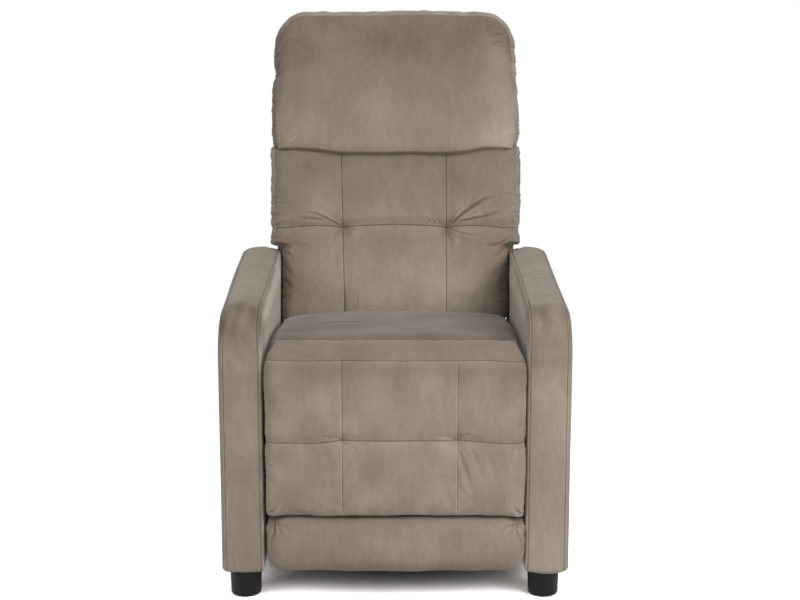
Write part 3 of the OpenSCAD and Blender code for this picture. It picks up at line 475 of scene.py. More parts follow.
def cloth_swell(points, normals, along, across, rows, cols, slack, peak):
    """How far a sewn cover swells: the face simulated as cloth, held at rim and seams, with pressure behind it."""
    pick_r, held_r = picked(along, rows, CLOTH_SPACING)
    pick_c, held_c = picked(across, cols, CLOTH_SPACING)
    coarse = points[np.ix_(pick_r, pick_c)]
    facing = normals[np.ix_(pick_r, pick_c)]
    pinned = np.zeros(coarse.shape[:2], bool)
    pinned[[0, -1], :] = pinned[:, [0, -1]] = True
    pinned[np.isin(pick_r, held_r), :] = True
    pinned[:, np.isin(pick_c, held_c)] = True
    faces = grid_faces(*pinned.shape)
    a, b, c = (coarse.reshape(-1, 3)[i] for i in faces[len(faces) // 2][:3])
    if np.dot(np.cross(b - a, c - a), facing.reshape(-1, 3)[faces[len(faces) // 2][0]]) < 0:
        faces = [f[::-1] for f in faces]
    scene = bpy.context.scene
    mesh = bpy.data.meshes.new("cloth_sheet")
    mesh.from_pydata((coarse.reshape(-1, 3) * MM).tolist(), [], [tuple(int(i) for i in f) for f in faces])
    sheet = bpy.data.objects.new("cloth_sheet", mesh)
    scene.collection.objects.link(sheet)
    sheet.vertex_groups.new(name="held").add([int(i) for i in np.flatnonzero(pinned)], 1.0, "ADD")
    modifier = sheet.modifiers.new("cloth", "CLOTH")
    cloth = modifier.settings
    cloth.quality = 6
    cloth.vertex_group_mass = "held"
    cloth.bending_stiffness = 0.15
    cloth.use_pressure = True
    cloth.uniform_pressure_force = 4
    cloth.shrink_min = -slack
    cloth.effector_weights.gravity = 0
    modifier.collision_settings.use_collision = False
    modifier.point_cache.frame_start, modifier.point_cache.frame_end = 1, 20
    for step in range(1, 21):
        scene.frame_set(step)
    shaped = sheet.evaluated_get(bpy.context.evaluated_depsgraph_get())
    moved = np.array([v.co[:] for v in shaped.data.vertices]).reshape(coarse.shape) / MM
    bpy.data.objects.remove(sheet)
    bpy.data.meshes.remove(mesh)
    scene.frame_set(1)
    swell = np.clip(np.sum((moved - coarse) * facing, axis=-1), -6, 30)
    top = np.percentile(swell, 98)
    if top < 0.5:
        return np.zeros(points.shape[:2])
    swell = smooth_interp(along, along[pick_r], swell * peak / top)
    return smooth_interp(across, across[pick_c], swell.T).T


def cushion(name, node, body, place, chain, t, half, width, edge_r, low_r, high_r, relief, shade, warp=None, seams=(),
        levels=(), inset=(0, 0, 0), bulge=(2, 0, 0), gather=1.2, crown=0.06, seed=1, fine_x=(), fine_r=(),
        kind=0.0, flip=False, rim_seam=True, seam_top=1e9, cloth=None,
        strip_shade=(0, 0), level_kinds=None):
    """A padded piece: a face swept across the width along a chain of (depth, run), with a boxing strip to a flat base.

    inset and bulge are for the sides, the top and the bottom: how far the sewn rim lies inside the piece's outline,
    and how far the strip swells past it. relief(x, s, r, out) lifts the face along its normal, and warp moves
    the sewn pattern in its own plane. shade(x, s, r, out) makes the colour lighter or darker: partly the lean of the
    pile, partly painted light and shade; strip_shade paints the strip's left and right sides darker or lighter.
    """
    line = smooth_line(chain)
    low, high = line[:, 1].min(), line[:, 1].max()
    mid = (low + high) / 2
    rows = respaced(line, [*levels, *fine_r, low, high], 1)
    xs = respaced(np.linspace(-half, half, 400), [*seams, *fine_x, -half, half])[:, 0]
    s = xs / half
    S, R = np.meshgrid(s, rows[:, 1])
    D = np.repeat(rows[:, :1], len(s), axis=1)
    W = width(R)
    tuck = inset[0](R) if callable(inset[0]) else inset[0] + 0 * R
    puff = bulge[0](R) if callable(bulge[0]) else bulge[0] + 0 * R
    X = S * (W - tuck)
    out = clamp01(D / t)
    thin = 1 - edge_fall(X, W, edge_r) / t - crown * S**4
    share = (R - mid) / (high - mid)
    fall = np.where(R > mid, edge_fall(X, W - tuck, high_r), edge_fall(X, W - tuck, low_r))
    points = np.stack([X, D * thin, R - fall * share], -1)
    normals = grid_normals(points)
    if normals[len(rows) // 2, len(s) // 2, 1] < 0:
        normals = -normals
    run = travelled(rows)[:, None] + 0 * X
    side = (1 - np.abs(S)) * (W - tuck)
    broad, lift = relief(X, S, R, out)
    pulled = lift
    if gather:
        for sign in (-1, 1):
            here = (X * sign > 0) * clamp01(out * 1.5)
            lift = lift + here * pleats(run, side, seed + 5 + sign, 17, gather, 2.6, 15)
    if cloth:
        sewn = [run[np.argmin(np.abs(rows[:, 1] - r0)), 0] for r0 in levels]
        broad = broad + cloth_swell(points + normals * broad[..., None], normals, run[:, 0], xs, sewn, seams, *cloth)
    points = points + normals * (broad + lift)[..., None]
    if warp:
        dx, dr = warp(X, R)
        points[..., 0] += dx
        points[..., 2] += dr
    n_rows, n_cols = points.shape[:2]
    rim = rim_of(n_rows, n_cols)
    flat = points.reshape(-1, 3)
    edge = flat[rim]
    outward = outward_of(edge[:, [0, 2]], np.array([0, mid]), 4)
    parts = [np.abs(outward[:, 0]) ** 2, np.maximum(outward[:, 1], 0) ** 2, np.maximum(-outward[:, 1], 0) ** 2]
    room = sum(p * v for p, v in zip(parts, (tuck.ravel()[rim], inset[1], inset[2])))
    swell = sum(p * v for p, v in zip(parts, (puff.ravel()[rim], bulge[1], bulge[2])))
    length = travelled(edge[:, [0, 2]])
    shares = [0.02, 0.045, 0.08, 0.12, 0.17, 0.23, 0.3, 0.38, 0.47, 0.57, 0.68, 0.79, 0.9, 1.0]
    loops, strip_seam, strip_tint = [], [], []
    for q in shares:
        reach = room * (1 - (1 - min(1, q / 0.5)) ** 2.2) + swell * math.sin(math.pi * q) ** 0.8
        deep = np.maximum(edge[:, 1] * q, 0)
        ruck = pleats(length, deep, seed + 50, 19, 0.8, 3.4, 24, 0.5) + 0.6 * ripple(length, deep, 36, seed + 41)
        reach = reach + ruck * math.sin(math.pi * min(1, 0.06 + q)) ** 0.5 * clamp01((room + swell) / 10)
        reach = reach - 1.2 * gauss(q - 0.02, 0.03) * clamp01((room + swell) / 6)
        loop = edge.copy()
        loop[:, [0, 2]] += outward * reach[:, None]
        loop[:, 1] = edge[:, 1] * (1 - q)
        loops.append(loop)
        strip_seam.append(np.column_stack([-np.hypot(deep, reach), length, np.full(len(edge), 0.0)]))
        # the strip a little lighter, with painted light and shade on its left and right sides from strip_shade
        strip_tint.append(0.03 + 0.03 * ripple(length, deep, 40, seed + 60)
                + strip_shade[0] * clamp01(-outward[:, 0]) ** 2
                + strip_shade[1] * clamp01(outward[:, 0]) ** 2)
    every = np.vstack([flat, *loops])
    faces = grid_faces(n_rows, n_cols)
    count = len(rim)
    previous = rim
    for k in range(len(shares)):
        current = n_rows * n_cols + k * count + np.arange(count)
        faces += [(previous[a], current[a], current[(a + 1) % count],
                previous[(a + 1) % count]) for a in range(count)]
        previous = current
    faces.append(tuple(previous[::-1]))
    best = np.stack([np.full(X.shape, 50.0), R, np.full(X.shape, kind)], -1)

    def nearer(d, along, where=True, sort=kind):
        better = (np.abs(d) < np.abs(best[..., 0])) & where
        best[better] = np.stack([d, along, np.full(d.shape, sort)], -1)[better]

    for x0 in seams:
        nearer(X - x0, run, R < seam_top)
    for r0, sort in zip(levels, level_kinds or [kind] * len(levels)):
        nearer(R - r0, X, True, sort)
    if rim_seam:
        nearer(side, run)
        if inset[1]:
            nearer(run[-1:] - run, X)
    seam = np.vstack([best.reshape(-1, 3), *strip_seam])
    # the folds' lift darkens the colour in their valleys and lightens it on their ridges: painted shade and light
    tint = np.concatenate([(shade(X, S, R, out) + 0.011 * pulled).ravel(), *strip_tint])
    world = place(every[:, 0], every[:, 1], every[:, 2])
    if flip:
        faces = [f[::-1] for f in faces]
    make_object(name, world, faces, body, node, seam, tint)


def fold(x, r, line, width, depth, ridge=0.8, side=1):
    """A fold along a drawn line: a valley with a raised flank on one side, that opens and fades towards its end."""
    line = smooth_line(line, 10)
    length = travelled(line)
    near = np.full(x.shape, 1e9)
    v = np.zeros(x.shape)
    share = np.zeros(x.shape)
    for a, b, l0, l1 in zip(line[:-1], line[1:], length[:-1], length[1:]):
        way = b - a
        size = max(np.linalg.norm(way), 1e-6)
        way = way / size
        u = clamp01(((x - a[0]) * way[0] + (r - a[1]) * way[1]) / size)
        dx, dr = x - a[0] - u * size * way[0], r - a[1] - u * size * way[1]
        d = np.hypot(dx, dr)
        closer = d < near
        near = np.where(closer, d, near)
        v = np.where(closer, np.sign(dr * way[0] - dx * way[1]) * d, v)
        share = np.where(closer, (l0 + (l1 - l0) * u) / length[-1], share)
    w = width * (0.55 + 0.8 * share)
    keep = ease((share + 0.02) / 0.12) * ease((1.02 - share) / 0.5)
    v = v * side
    shape = -gauss(v, w * 0.42) + ridge * gauss(v - 1.15 * w, w * 0.62) + 0.3 * ridge * gauss(v + 1.2 * w, w * 0.8)
    return depth * keep * shape


def folded(lift, x, r, rows, ridge=0.6):
    """The lift with plain folds added, each of a line, a width and a depth."""
    for line, width, depth in rows:
        lift = lift + fold(x, r, line, width, depth, ridge)
    return lift


def from_tufts(lift, x, r, level, rows):
    """The lift with folds added that start near a tuft, each given from where its seam crosses the level one."""
    for x0, line, width, depth, ridge, side in rows:
        lift = lift + fold(x, r, [(x0 + a, level + b) for a, b in line], width, depth, ridge, side)
    return lift


def pleats(along, away, seed, spacing, deep, width, reach, slant=0.0):
    """Small gathers that start at a seam and fade as they run away from it."""
    rng = np.random.default_rng(seed)
    total = np.zeros(np.broadcast(along, away).shape)
    at, stop = np.min(along) + rng.uniform(0, spacing), np.max(along)
    while at < stop:
        size, tall = rng.uniform(0.5, 1.5), rng.uniform(0.55, 1.5)
        lean = slant + rng.uniform(-0.5, 0.5)
        d = along - at - lean * away
        w = width * size
        total += -deep * size * (gauss(d, w) - 0.6 * gauss(d - 1.7 * w, w)) * gauss(away, reach * tall)
        at += rng.uniform(0.5, 1.6) * spacing
    return total


# ---- back

def outer_width(r):
    return BACK_HALF + SHOULDER * ease((r - 190) / 12)


def lumbar_width(r):
    return BACK_HALF + 1.5 + 25 * ease((r - SHOULDER_LOW + 10) / 11) - 26 * (1 - ease((r - 42) / 24))


def spread(shares, t, low, high):
    return [(a * t, low + b * (high - low)) for a, b in shares]


LUMBAR_SEAMS, LUMBAR_LEVEL = (-110, 108), 260
LUMBAR_CHAIN = spread([(0.25, 0), (0.72, 0.075), (0.94, 0.22), (1, 0.43), (1, 0.72), (1, 0.94)], LUMBAR_T, 30, 240) \
    + [(LUMBAR_T, 250), (LUMBAR_T, 260), (LUMBAR_T, 270)] \
    + spread([(1, 0.32), (0.99, 0.6), (0.97, 0.8), (0.92, 0.9), (0.78, 0.97), (0.5, 1)], LUMBAR_T, 280, 430)


def lip_rise(x):
    """How far the headrest's lower edge lies above its solid's: it hangs in the middle and waves at the right."""
    wave = (0.45 * np.sin(x / 31 + 1) + 0.35 * np.sin(x / 13)) * (0.4 + 0.9 * clamp01((x + 60) / 160))
    return 7.5 - 10.5 * (1 - ease((np.abs(x + 8) - 95) / 125)) + wave


def lumbar_warp(x, r):
    near = bump(r - LUMBAR_LEVEL, 90)
    between = 4.5 * (1 - clamp01(np.abs(x) / 109) ** 2)
    outside = 3.5 * np.sin(math.pi * clamp01((np.abs(x) - 109) / 120)) - 2 * clamp01((np.abs(x) - 109) / 127)
    dr = np.where(np.abs(x) < 109, between, outside) * near + lip_rise(x) * bump(r - 424, 80)
    dx = (3.5 - 7 * clamp01((r - 110) / 300)) * bump(x + 110, 70)
    return dx, dr


def lumbar_relief(x, s, r, out):
    broad = 1.6 * ripple(x, r, 130, 3) + 0.4 * ripple(x, r, 50, 4)
    left, right, level = LUMBAR_SEAMS[0], LUMBAR_SEAMS[1], LUMBAR_LEVEL
    lift = 0 * x
    for x0 in LUMBAR_SEAMS:
        broad = broad - 2.6 * bump(x - x0, 20)
        lift = lift - 1.4 * gauss(x - x0, 1.6)
        tuft = np.hypot(x - x0 - 2, (r - level) * 1.15)
        broad = broad - 6 * gauss(tuft, 24)
        lift = lift - 3.2 * gauss(tuft, 8)
    broad = broad - 3.4 * bump(r - level, 20)
    lift = lift - 1.8 * gauss(r - level, 1.8) - 2.4 * gauss(x - left, 2.6) * ease((150 - r) / 40)
    lift = from_tufts(lift, x, r, level, (
            (left, ((-3, 2), (-30, 14), (-62, 31)), 3.6, 3.4, 0.9, -1),
            (left, ((-20, 5), (-36, 14), (-56, 24), (-78, 29)), 3.6, 2.6, 0.8, -1),
            (left, ((-34, 12), (-66, 14), (-98, 20), (-113, 29)), 6.5, 1.9, 0.6, 1),
            (left, ((-2, -4), (-14, -16), (-20, -30)), 5, 1.8, 0.5, 1),
            (left, ((3, -2), (18, -7), (40, -10)), 5, 1.6, 0.5, -1),
            (right, ((10, 5), (30, 22), (55, 40), (80, 55), (108, 64)), 6.0, 5.2, 0.9, 1),
            (right, ((6, 9), (17, 24), (29, 40)), 2.8, 2.2, 0.8, 1),
            (right, ((11, 9), (22, 22), (34, 35)), 2.8, 2.2, 0.8, 1),
            (right, ((30, 9), (60, 14), (90, 22), (124, 37)), 6.5, 3.4, 0.7, 1),
            (right, ((-13, 5), (-16, 11), (-19, 20)), 2.4, 2.4, 0.8, -1),
            (right, ((-21, 5), (-26, 11), (-32, 18)), 2.4, 2.4, 0.8, -1),
            (right, ((-34, 8), (-40, 14), (-46, 20)), 2.6, 2.0, 0.8, -1),
            (right, ((6, -2), (30, -15), (52, -20), (70, -20)), 5.5, 2.8, 0.6, -1),
            (right, ((1, -5), (6, -24), (16, -40)), 6, 1.8, 0.5, 1)))
    # drag lines from the arms' tops, and gathers over the seat
    lift = folded(lift, x, r, ((((236, 236), (214, 222), (186, 214)), 5, 2.6),
            (((238, 224), (222, 206), (200, 190)), 6, 2.4),
            (((-238, 214), (-222, 200), (-206, 180)), 6, 2.4), (((-238, 180), (-224, 168), (-210, 150)), 6, 2.4),
            (((-238, 150), (-226, 140), (-214, 126)), 6, 2.2), (((238, 180), (220, 172), (196, 150)), 7, 2.0)))
    for x0 in (left - 14, left + 26, -4, right - 20):
        lift = lift + fold(x, r, [(x0, 88), (x0 + 2, 102), (x0 + 5, 114)], 5, 2.0, 0.5)
    return broad * clamp01(out * 1.6), lift * clamp01(out * 1.6)


def lumbar_shade(x, s, r, out):
    # painted shade under the headrest's lip at the top and just below the level seam, lighter lower down
    t = (-0.05 * gauss(r - 400, 62) + 0.045 * ease((230 - r) / 110) + 0.015 * gauss(r - 300, 30)
            - 0.02 * gauss(r - 236, 20))
    t = (t - 0.02 + 0.055 * ease((330 - r) / 60) * ease((0.85 - np.abs(s)) / 0.4)
            - 0.05 * gauss(x - 135, 26) * gauss(r - 365, 40) - 0.04 * gauss(x + 185, 40) * gauss(r - 385, 25))
    # painted shade in the hollows round the tufts
    for x0 in LUMBAR_SEAMS:
        t = t - 0.12 * gauss(np.hypot(x - x0 - 4, (r - LUMBAR_LEVEL + 9) * 0.9), 14)
    # a painted shadow of the right arm over the lower right, and a darker far left edge
    return (t - 0.12 * ease((s - 0.72) / 0.28) * ease((222 - r) / 60) - 0.06 * ease((-s - 0.86) / 0.14)
            + 0.016 * ripple(x, r, 110, 17))


cushion("lumbar", "lumbar_cushion", "back", back_place, LUMBAR_CHAIN, LUMBAR_T, BACK_HALF, lumbar_width,
        26, 12, 4, lumbar_relief, lumbar_shade, lumbar_warp, seams=LUMBAR_SEAMS, levels=(LUMBAR_LEVEL,),
        inset=(lambda r: 1 + 7 * ease((r - SHOULDER_LOW + 6) / 12), 0, 0),
        bulge=(lambda r: 2.4 + 0 * r, 0, 0),
        fine_x=(-180, -160, -140, -125, -95, -80, 70, 85, 95, 125, 140, 160, 180, 200),
        fine_r=(222, 228, 234, 242, 250, 272, 285, 300, 320, 110), seed=11, cloth=(0.012, 5.0))


HEAD_LOW, HEAD_TOP = 418, 729
HEAD_HALF = BACK_HALF + SHOULDER + 2
HEAD_CHAIN = spread([(0.3, 0), (0.84, 0), (0.95, 0.006), (0.99, 0.03), (1, 0.11), (1, 0.26), (1, 0.42), (0.985, 0.6),
        (0.945, 0.77),
        (0.89, 0.88), (0.82, 0.942)], HEAD_T, HEAD_LOW, HEAD_TOP)


def head_warp(x, r):
    return 0 * x, lip_rise(x) * bump(r - HEAD_LOW, 75)


def head_relief(x, s, r, out):
    broad = 2.2 * ripple(x, r, 170, 21) + 0.5 * ripple(x, r, 60, 22) - 2.5 * bump(r - 640, 60) * bump(s, 1.1)
    lift = 0 * x
    lift = folded(lift, x, r, ((((232, 664), (214, 655), (196, 640)), 5, 2.2),
            (((226, 682), (208, 668), (194, 660)), 4.5, 2.4),
            (((206, 694), (196, 680), (190, 668)), 4.5, 1.8), (((-228, 670), (-210, 656), (-196, 640)), 6, 1.6),
            (((-236, 436), (-214, 446), (-196, 462)), 5, 2.2), (((-220, 424), (-206, 436), (-200, 452)), 4.5, 2.0),
            (((236, 440), (216, 446), (196, 440)), 6, 1.8), (((120, 412), (128, 426), (142, 440)), 6, 1.6)))
    return broad * clamp01(out * 1.6), lift * clamp01(out * 1.6)


def head_shade(x, s, r, out):
    up = (r - HEAD_LOW) / (HEAD_TOP - HEAD_LOW)
    # darker towards the top; the right side painted lighter, as lit from the right
    t = (0.005 - 0.15 * ease((up - 0.1) / 0.7)
            + 0.02 * gauss(x + 160, 70) * ease((up - 0.2) / 0.3) * ease((0.9 - up) / 0.3))
    return t + 0.08 * ease((s - 0.55) / 0.4) * ease((0.85 - up) / 0.3) + 0.018 * ripple(x, r, 130, 27)


# strip_shade paints the headrest's left boxing darker, as a side turned away from the light
cushion("headrest", "headrest_cushion", "back", back_place, HEAD_CHAIN, HEAD_T, HEAD_HALF,
        lambda r: HEAD_HALF - 3 + 7 * ease((600 - r) / 60) - 4 * ease((460 - r) / 40), 34, 8, 62, head_relief,
        head_shade, head_warp,
        inset=(9, 14, 0), bulge=(1, 0.3, 0), fine_x=(-225, 225, -205, 205), fine_r=(640, 655, 670, 685), seed=12,
        cloth=(0.006, 4.0), strip_shade=(-0.13, 0.02))


OUTER_LOW, OUTER_DEPTH = 42, 90
OUTER_SHARES = [(0.02, 0.002), (0.55, 0), (0.84, 0.012), (0.95, 0.05), (0.99, 0.2), (0.995, 0.272), (0.995, 0.298),
        (1, 0.4),
        (1, 0.6), (0.99, 0.8), (0.95, 0.93), (0.86, 0.972), (0.68, 0.992), (0.45, 1), (0.2, 1), (0.02, 0.99)]
OUTER_CHAIN = [(a * OUTER_DEPTH + 12 * math.sin(math.pi * b) * a, OUTER_LOW + b * (BACK_L - 6 - OUTER_LOW))
        for a, b in OUTER_SHARES]


def outer_relief(x, s, r, out):
    broad = (2.4 * ripple(x, r, 190, 31) + 0.6 * ripple(x, r, 60, 32)) * ease((BACK_L - 10 - r) / 50)
    lift = 0 * x
    for sign in (-1, 1):
        lift = lift + fold(x, r, [(sign * 236, 186), (sign * 205, 174), (sign * 165, 166)], 9, 2.4, 0.6, sign)
    return broad * clamp01(out * 1.4), lift * clamp01(out * 1.4)


def outer_shade(x, s, r, out):
    return 0.04 - 0.08 * ease((r - 200) / 500) + 0.02 * ripple(x, r, 160, 37)


cushion("outer_back_cover", "outer_back", "back", outer_place, OUTER_CHAIN, OUTER_DEPTH, BACK_HALF, outer_width,
        26, 10, 62, outer_relief, outer_shade, inset=(4, 0, 0),
        bulge=(lambda r: 1 + 2 * ease((r - 135) / 25) - 2.5 * ease((r - 190) / 12), 0, 0), fine_r=(190, 196, 202),
        seed=13, flip=True)


# ---- seat

SEAT_L = SEAT_HIGH[1] - SEAT_LOW[1]
SEAT_SHARES = [(0.03, 0.02), (0, 0.3), (0, 0.62), (0.025, 0.86), (0.075, 0.97), (0.25, 1), (0.5, 1), (0.75, 1),
        (0.92, 0.97),
        (0.98, 0.82), (1, 0.5), (0.985, 0.02)]
SEAT_CHAIN = [(b * (SEAT_FRONT_H - 26 * a + 5 * math.sin(math.pi * a) - SEAT_LOW[2]), SEAT_LOW[1] + a * SEAT_L)
        for a, b in SEAT_SHARES]


def seat_relief(x, s, r, out):
    rear = ease((r + 120) / 200)
    broad = (1.0 * ripple(x, r, 150, 41) + 1.5 * (1 - s**2) * gauss(r - 60, 90)
            - (5 * np.abs(s) ** 2.2 + 4 * clamp01(-s) ** 3) * rear)
    lift = 0 * x
    lift = folded(lift, x, r, ((((236, 40), (190, 52), (120, 58)), 11, 0.8),
            (((236, -10), (180, 8), (90, 20)), 12, 0.8),
            (((-236, 30), (-196, 44), (-150, 50)), 13, 0.5), (((-236, -30), (-190, -8), (-130, 6)), 14, 0.5),
            (((236, -120), (150, -110), (40, -112)), 12, 0.7), (((-236, -150), (-120, -140), (0, -150)), 9, 1.2)),
            0.5)
    return broad * clamp01(out * 1.4), lift * clamp01(out * 1.4)


def seat_shade(x, s, r, out):
    # painted shade: the seat darkened as it lies between the arms and the back, a little lighter at the front
    return -0.2 + 0.04 * ease((-r - 150) / 120) + 0.012 * ripple(x, r, 90, 47)


cushion("seat_pad", "seat_cushion", "seat", seat_place, SEAT_CHAIN, SEAT_FRONT_H - SEAT_LOW[2], SEAT_HALF,
        lambda r: SEAT_HALF + 1.6 + 0 * r, 27, 16, 9, seat_relief, seat_shade, bulge=(0, 0, 0), crown=0.13, seed=14,
        cloth=(0.008, 3.0),
        fine_r=(SEAT_LOW[1] + 6, SEAT_LOW[1] + 16), flip=True, gather=0.25, rim_seam=False)


# ---- footrest

PAD_SEAMS, PAD_LEVEL = (-98, 112.5), 318
PAD_BOTTOM, PAD_TOP, PAD_EDGE = 174, 490, 466
PAD_CHAIN = spread([(0.3, 0), (0.82, 0), (0.93, 0.02), (0.98, 0.09), (1, 0.25), (1, 0.6)], PAD_T, PAD_BOTTOM,
        PAD_LEVEL - 20) \
    + [(PAD_T, PAD_LEVEL - 10), (PAD_T, PAD_LEVEL), (PAD_T, PAD_LEVEL + 10)] \
    + spread([(1, 0.34), (0.99, 0.58), (0.965, 0.74), (0.87, 0.84), (0.7, 0.905), (0.4, 0.97), (0.1, 1), (-0.1, 0.98),
            (-0.17, 0.9)], PAD_T, PAD_LEVEL + 20, PAD_TOP)


def pad_warp(x, r):
    near = bump(r - PAD_LEVEL, 80)
    dr = -(6 * ease((x - 112) / 110) + 4.5 * ease((-98 - x) / 60)) * near
    dr = dr - 3 * ease((x - 150) / 80) * bump(r - PAD_EDGE, 30)
    dr = dr - (2 + 4 * (x > 0)) * ease((np.abs(x) - 190) / 45) * bump(r - PAD_BOTTOM, 60)
    return 0 * x, dr


def pad_relief(x, s, r, out):
    broad = 1.0 * ripple(x, r, 130, 51)
    lift = 0.2 * ripple(x, r, 40, 52)
    front = ease((PAD_EDGE - r) / 5) * ease((r - PAD_BOTTOM - 4) / 16)
    for x0 in PAD_SEAMS:
        broad = broad - 1.6 * bump(x - x0, 16) * front
        lift = lift - 1.3 * gauss(x - x0, 1.5) * front
        tuft = np.hypot(x - x0 - 2, (r - PAD_LEVEL) * 1.1)
        broad = broad - 3.6 * gauss(tuft, 22)
        lift = lift - 2.2 * gauss(tuft, 7)
    broad = broad - 2.2 * bump(r - PAD_LEVEL, 18) - 0.8 * bump(r - PAD_EDGE, 12)
    lift = lift - 1.5 * gauss(r - PAD_LEVEL, 1.7) - 0.9 * gauss(r - PAD_EDGE, 1.5)
    left, right, level = PAD_SEAMS[0], PAD_SEAMS[1], PAD_LEVEL
    lift = from_tufts(lift, x, r, level, (
            (left, ((-3, 4), (-22, 8), (-46, 16)), 5, 1.2, 0.5, 1),
            (left, ((4, -4), (16, -10), (34, -22)), 5, 1.4, 0.5, -1),
            (right, ((3, -14), (8, -34), (18, -62), (31, -112)), 10, 1.9, 0.7, -1),
            (right, ((26, -12), (36, -36), (47, -66), (56, -98)), 11, 1.5, 0.6, -1),
            (right, ((6, -86), (14, -100), (26, -116)), 7, 1.2, 0.6, -1),
            (right, ((58, -24), (68, -60), (74, -100)), 10, 1.2, 0.6, -1),
            (right, ((3, 4), (10, 10), (26, 14)), 5, 1.6, 0.5, 1),
            (right, ((-4, 3), (-24, 9), (-44, 14)), 5, 1.0, 0.5, 1)))
    for sign in (-1, 1):
        lift = (lift + fold(x, r, [(sign * 234, PAD_BOTTOM + 6), (sign * 222, PAD_BOTTOM + 16),
                (sign * 218, PAD_BOTTOM + 34)], 6, 3.4, 0.7, sign))
    return broad * clamp01(out * 1.5), lift * clamp01(out * 1.5)


def pad_shade(x, s, r, out):
    # darker at and just under the edge seam, lighter lower down
    t = 0.03 * ease((440 - r) / 60) - 0.06 * ease((r - PAD_EDGE + 2) / 4) - 0.06 * gauss(r - 453, 15)
    # painted shade in the hollows round the tufts; the right side painted lighter, as lit from the right
    for x0 in PAD_SEAMS:
        t = t - 0.05 * gauss(np.hypot(x - x0 - 5, r - PAD_LEVEL - 8), 12)
    return t + 0.015 * ease((s - 0.5) / 0.4) + 0.02 * ripple(x, r, 90, 57)


cushion("footrest_pad_cover", "footrest_pad", "footrest", footrest_place, PAD_CHAIN, PAD_T, SEAT_HALF,
        lambda r: SEAT_HALF + 0.9 - 17 * clamp01((r - 464) / 30) ** 1.5, 22, 5, 8, pad_relief, pad_shade, pad_warp,
        seams=PAD_SEAMS,
        levels=(PAD_LEVEL, PAD_EDGE), inset=(0.5, 0, 0), bulge=(0.5, 0, 0), gather=0.6, kind=2.0, rim_seam=False,
        seam_top=PAD_EDGE, fine_x=(-120, -80, 95, 128, 142, 158),
        fine_r=(240, 255, 270, 285, 300, 340, PAD_BOTTOM + 16),
        seed=15, crown=0.05, cloth=(0.012, 3.5), level_kinds=(0.0, 2.0))


ROLL_BOTTOM, ROLL_TOP = ROLL_LOW[2], 172
ROLL_CHAIN = spread([(0.08, 0), (0.45, 0.015), (0.75, 0.08), (0.93, 0.22), (1, 0.42), (1, 0.6), (0.97, 0.8),
        (0.86, 0.95),
        (0.6, 1), (0.25, 1)], ROLL_T, ROLL_BOTTOM, ROLL_TOP)


def roll_warp(x, r):
    dr = -7 * ease((np.abs(x) - 196) / 34) * bump(r - ROLL_TOP, 46)
    return 0 * x, dr


def roll_relief(x, s, r, out):
    broad = 1.0 * ripple(x, r, 130, 61)
    lift = 0.2 * ripple(x, r, 40, 62)
    for sign in (-1, 1):
        corner = np.hypot(x - sign * (SEAT_HALF - 10), r - ROLL_TOP + 4)
        lift = lift - 5 * gauss(corner, 11)
        lift = folded(lift, sign * x, r, ((((226, 166), (222, 152), (228, 130), (232, 110)), 4.5, 3.2),
                (((222, 162), (206, 154), (190, 142)), 6, 2.2),
                (((218, 164), (214, 150), (210, 136)), 4.5, 2.2), (((234, 158), (236, 140), (237, 120)), 4, 2.6)),
                0.7)
    return broad * clamp01(out * 1.5), lift * clamp01(out * 1.5)


def roll_shade(x, s, r, out):
    # painted shade at the top under the pad's crease; the right side painted lighter, as lit from the right
    return -0.08 * gauss(r - ROLL_TOP, 12) + 0.015 + 0.02 * ease((s - 0.5) / 0.4) + 0.015 * ripple(x, r, 90, 67)


cushion("footrest_roll_cover", "footrest_roll", "footrest", footrest_place, ROLL_CHAIN, ROLL_T, SEAT_HALF,
        lambda r: SEAT_HALF + 0.9 + 0 * r, 24, 26, 4, roll_relief, roll_shade, roll_warp, inset=(0.5, 0, 0),
        bulge=(0.5, 0, 0),
        gather=0.5, rim_seam=False, fine_x=(-228, -215, -200, 200, 215, 228), fine_r=(155, 140, 125), seed=16)


# ---- arms

def arc(centre, r, start, stop, steps):
    a = np.radians(np.linspace(start, stop, steps + 1))
    return np.column_stack([centre[0] + r * np.cos(a), centre[1] + r * np.sin(a)])


def arm_outline(inset):
    """Outline of an arm seen from the side, drawn in by an inset, always with as many points."""
    low_r = max(ARM_LOW_R - inset, 0.8)
    low_z = FOOT_H + inset + low_r
    front_c = np.array([ARM_FRONT_Y + ARM_FRONT_R, ARM_FRONT_H - ARM_FRONT_R])
    rear_c = np.array([ARM_REAR_Y - ARM_REAR_R, ARM_REAR_H - ARM_REAR_R])
    run = rear_c - front_c
    top = math.degrees(math.atan2(run[1], run[0]) + math.acos((ARM_FRONT_R - ARM_REAR_R) / np.linalg.norm(run)))
    arcs = [arc((ARM_FRONT_Y + inset + low_r, low_z), low_r, 180, 270, 5),
            arc((ARM_REAR_Y - inset - low_r, low_z), low_r, 270, 360, 5),
            arc(rear_c, ARM_REAR_R - inset, 0, top, 26),
            arc(front_c, ARM_FRONT_R - inset, top, 180, 34)]
    lengths = (70, 50, 60, 60)
    points = []
    for k, piece in enumerate(arcs):
        follow = arcs[(k + 1) % 4][0]
        t = np.linspace(0, 1, lengths[k], endpoint=False)[1:, None]
        points += [piece, piece[-1] * (1 - t) + follow * t]
    return np.vstack(points)


SEAM_IN, SEAM_OUT = 5.8, ARM_W - 9.5


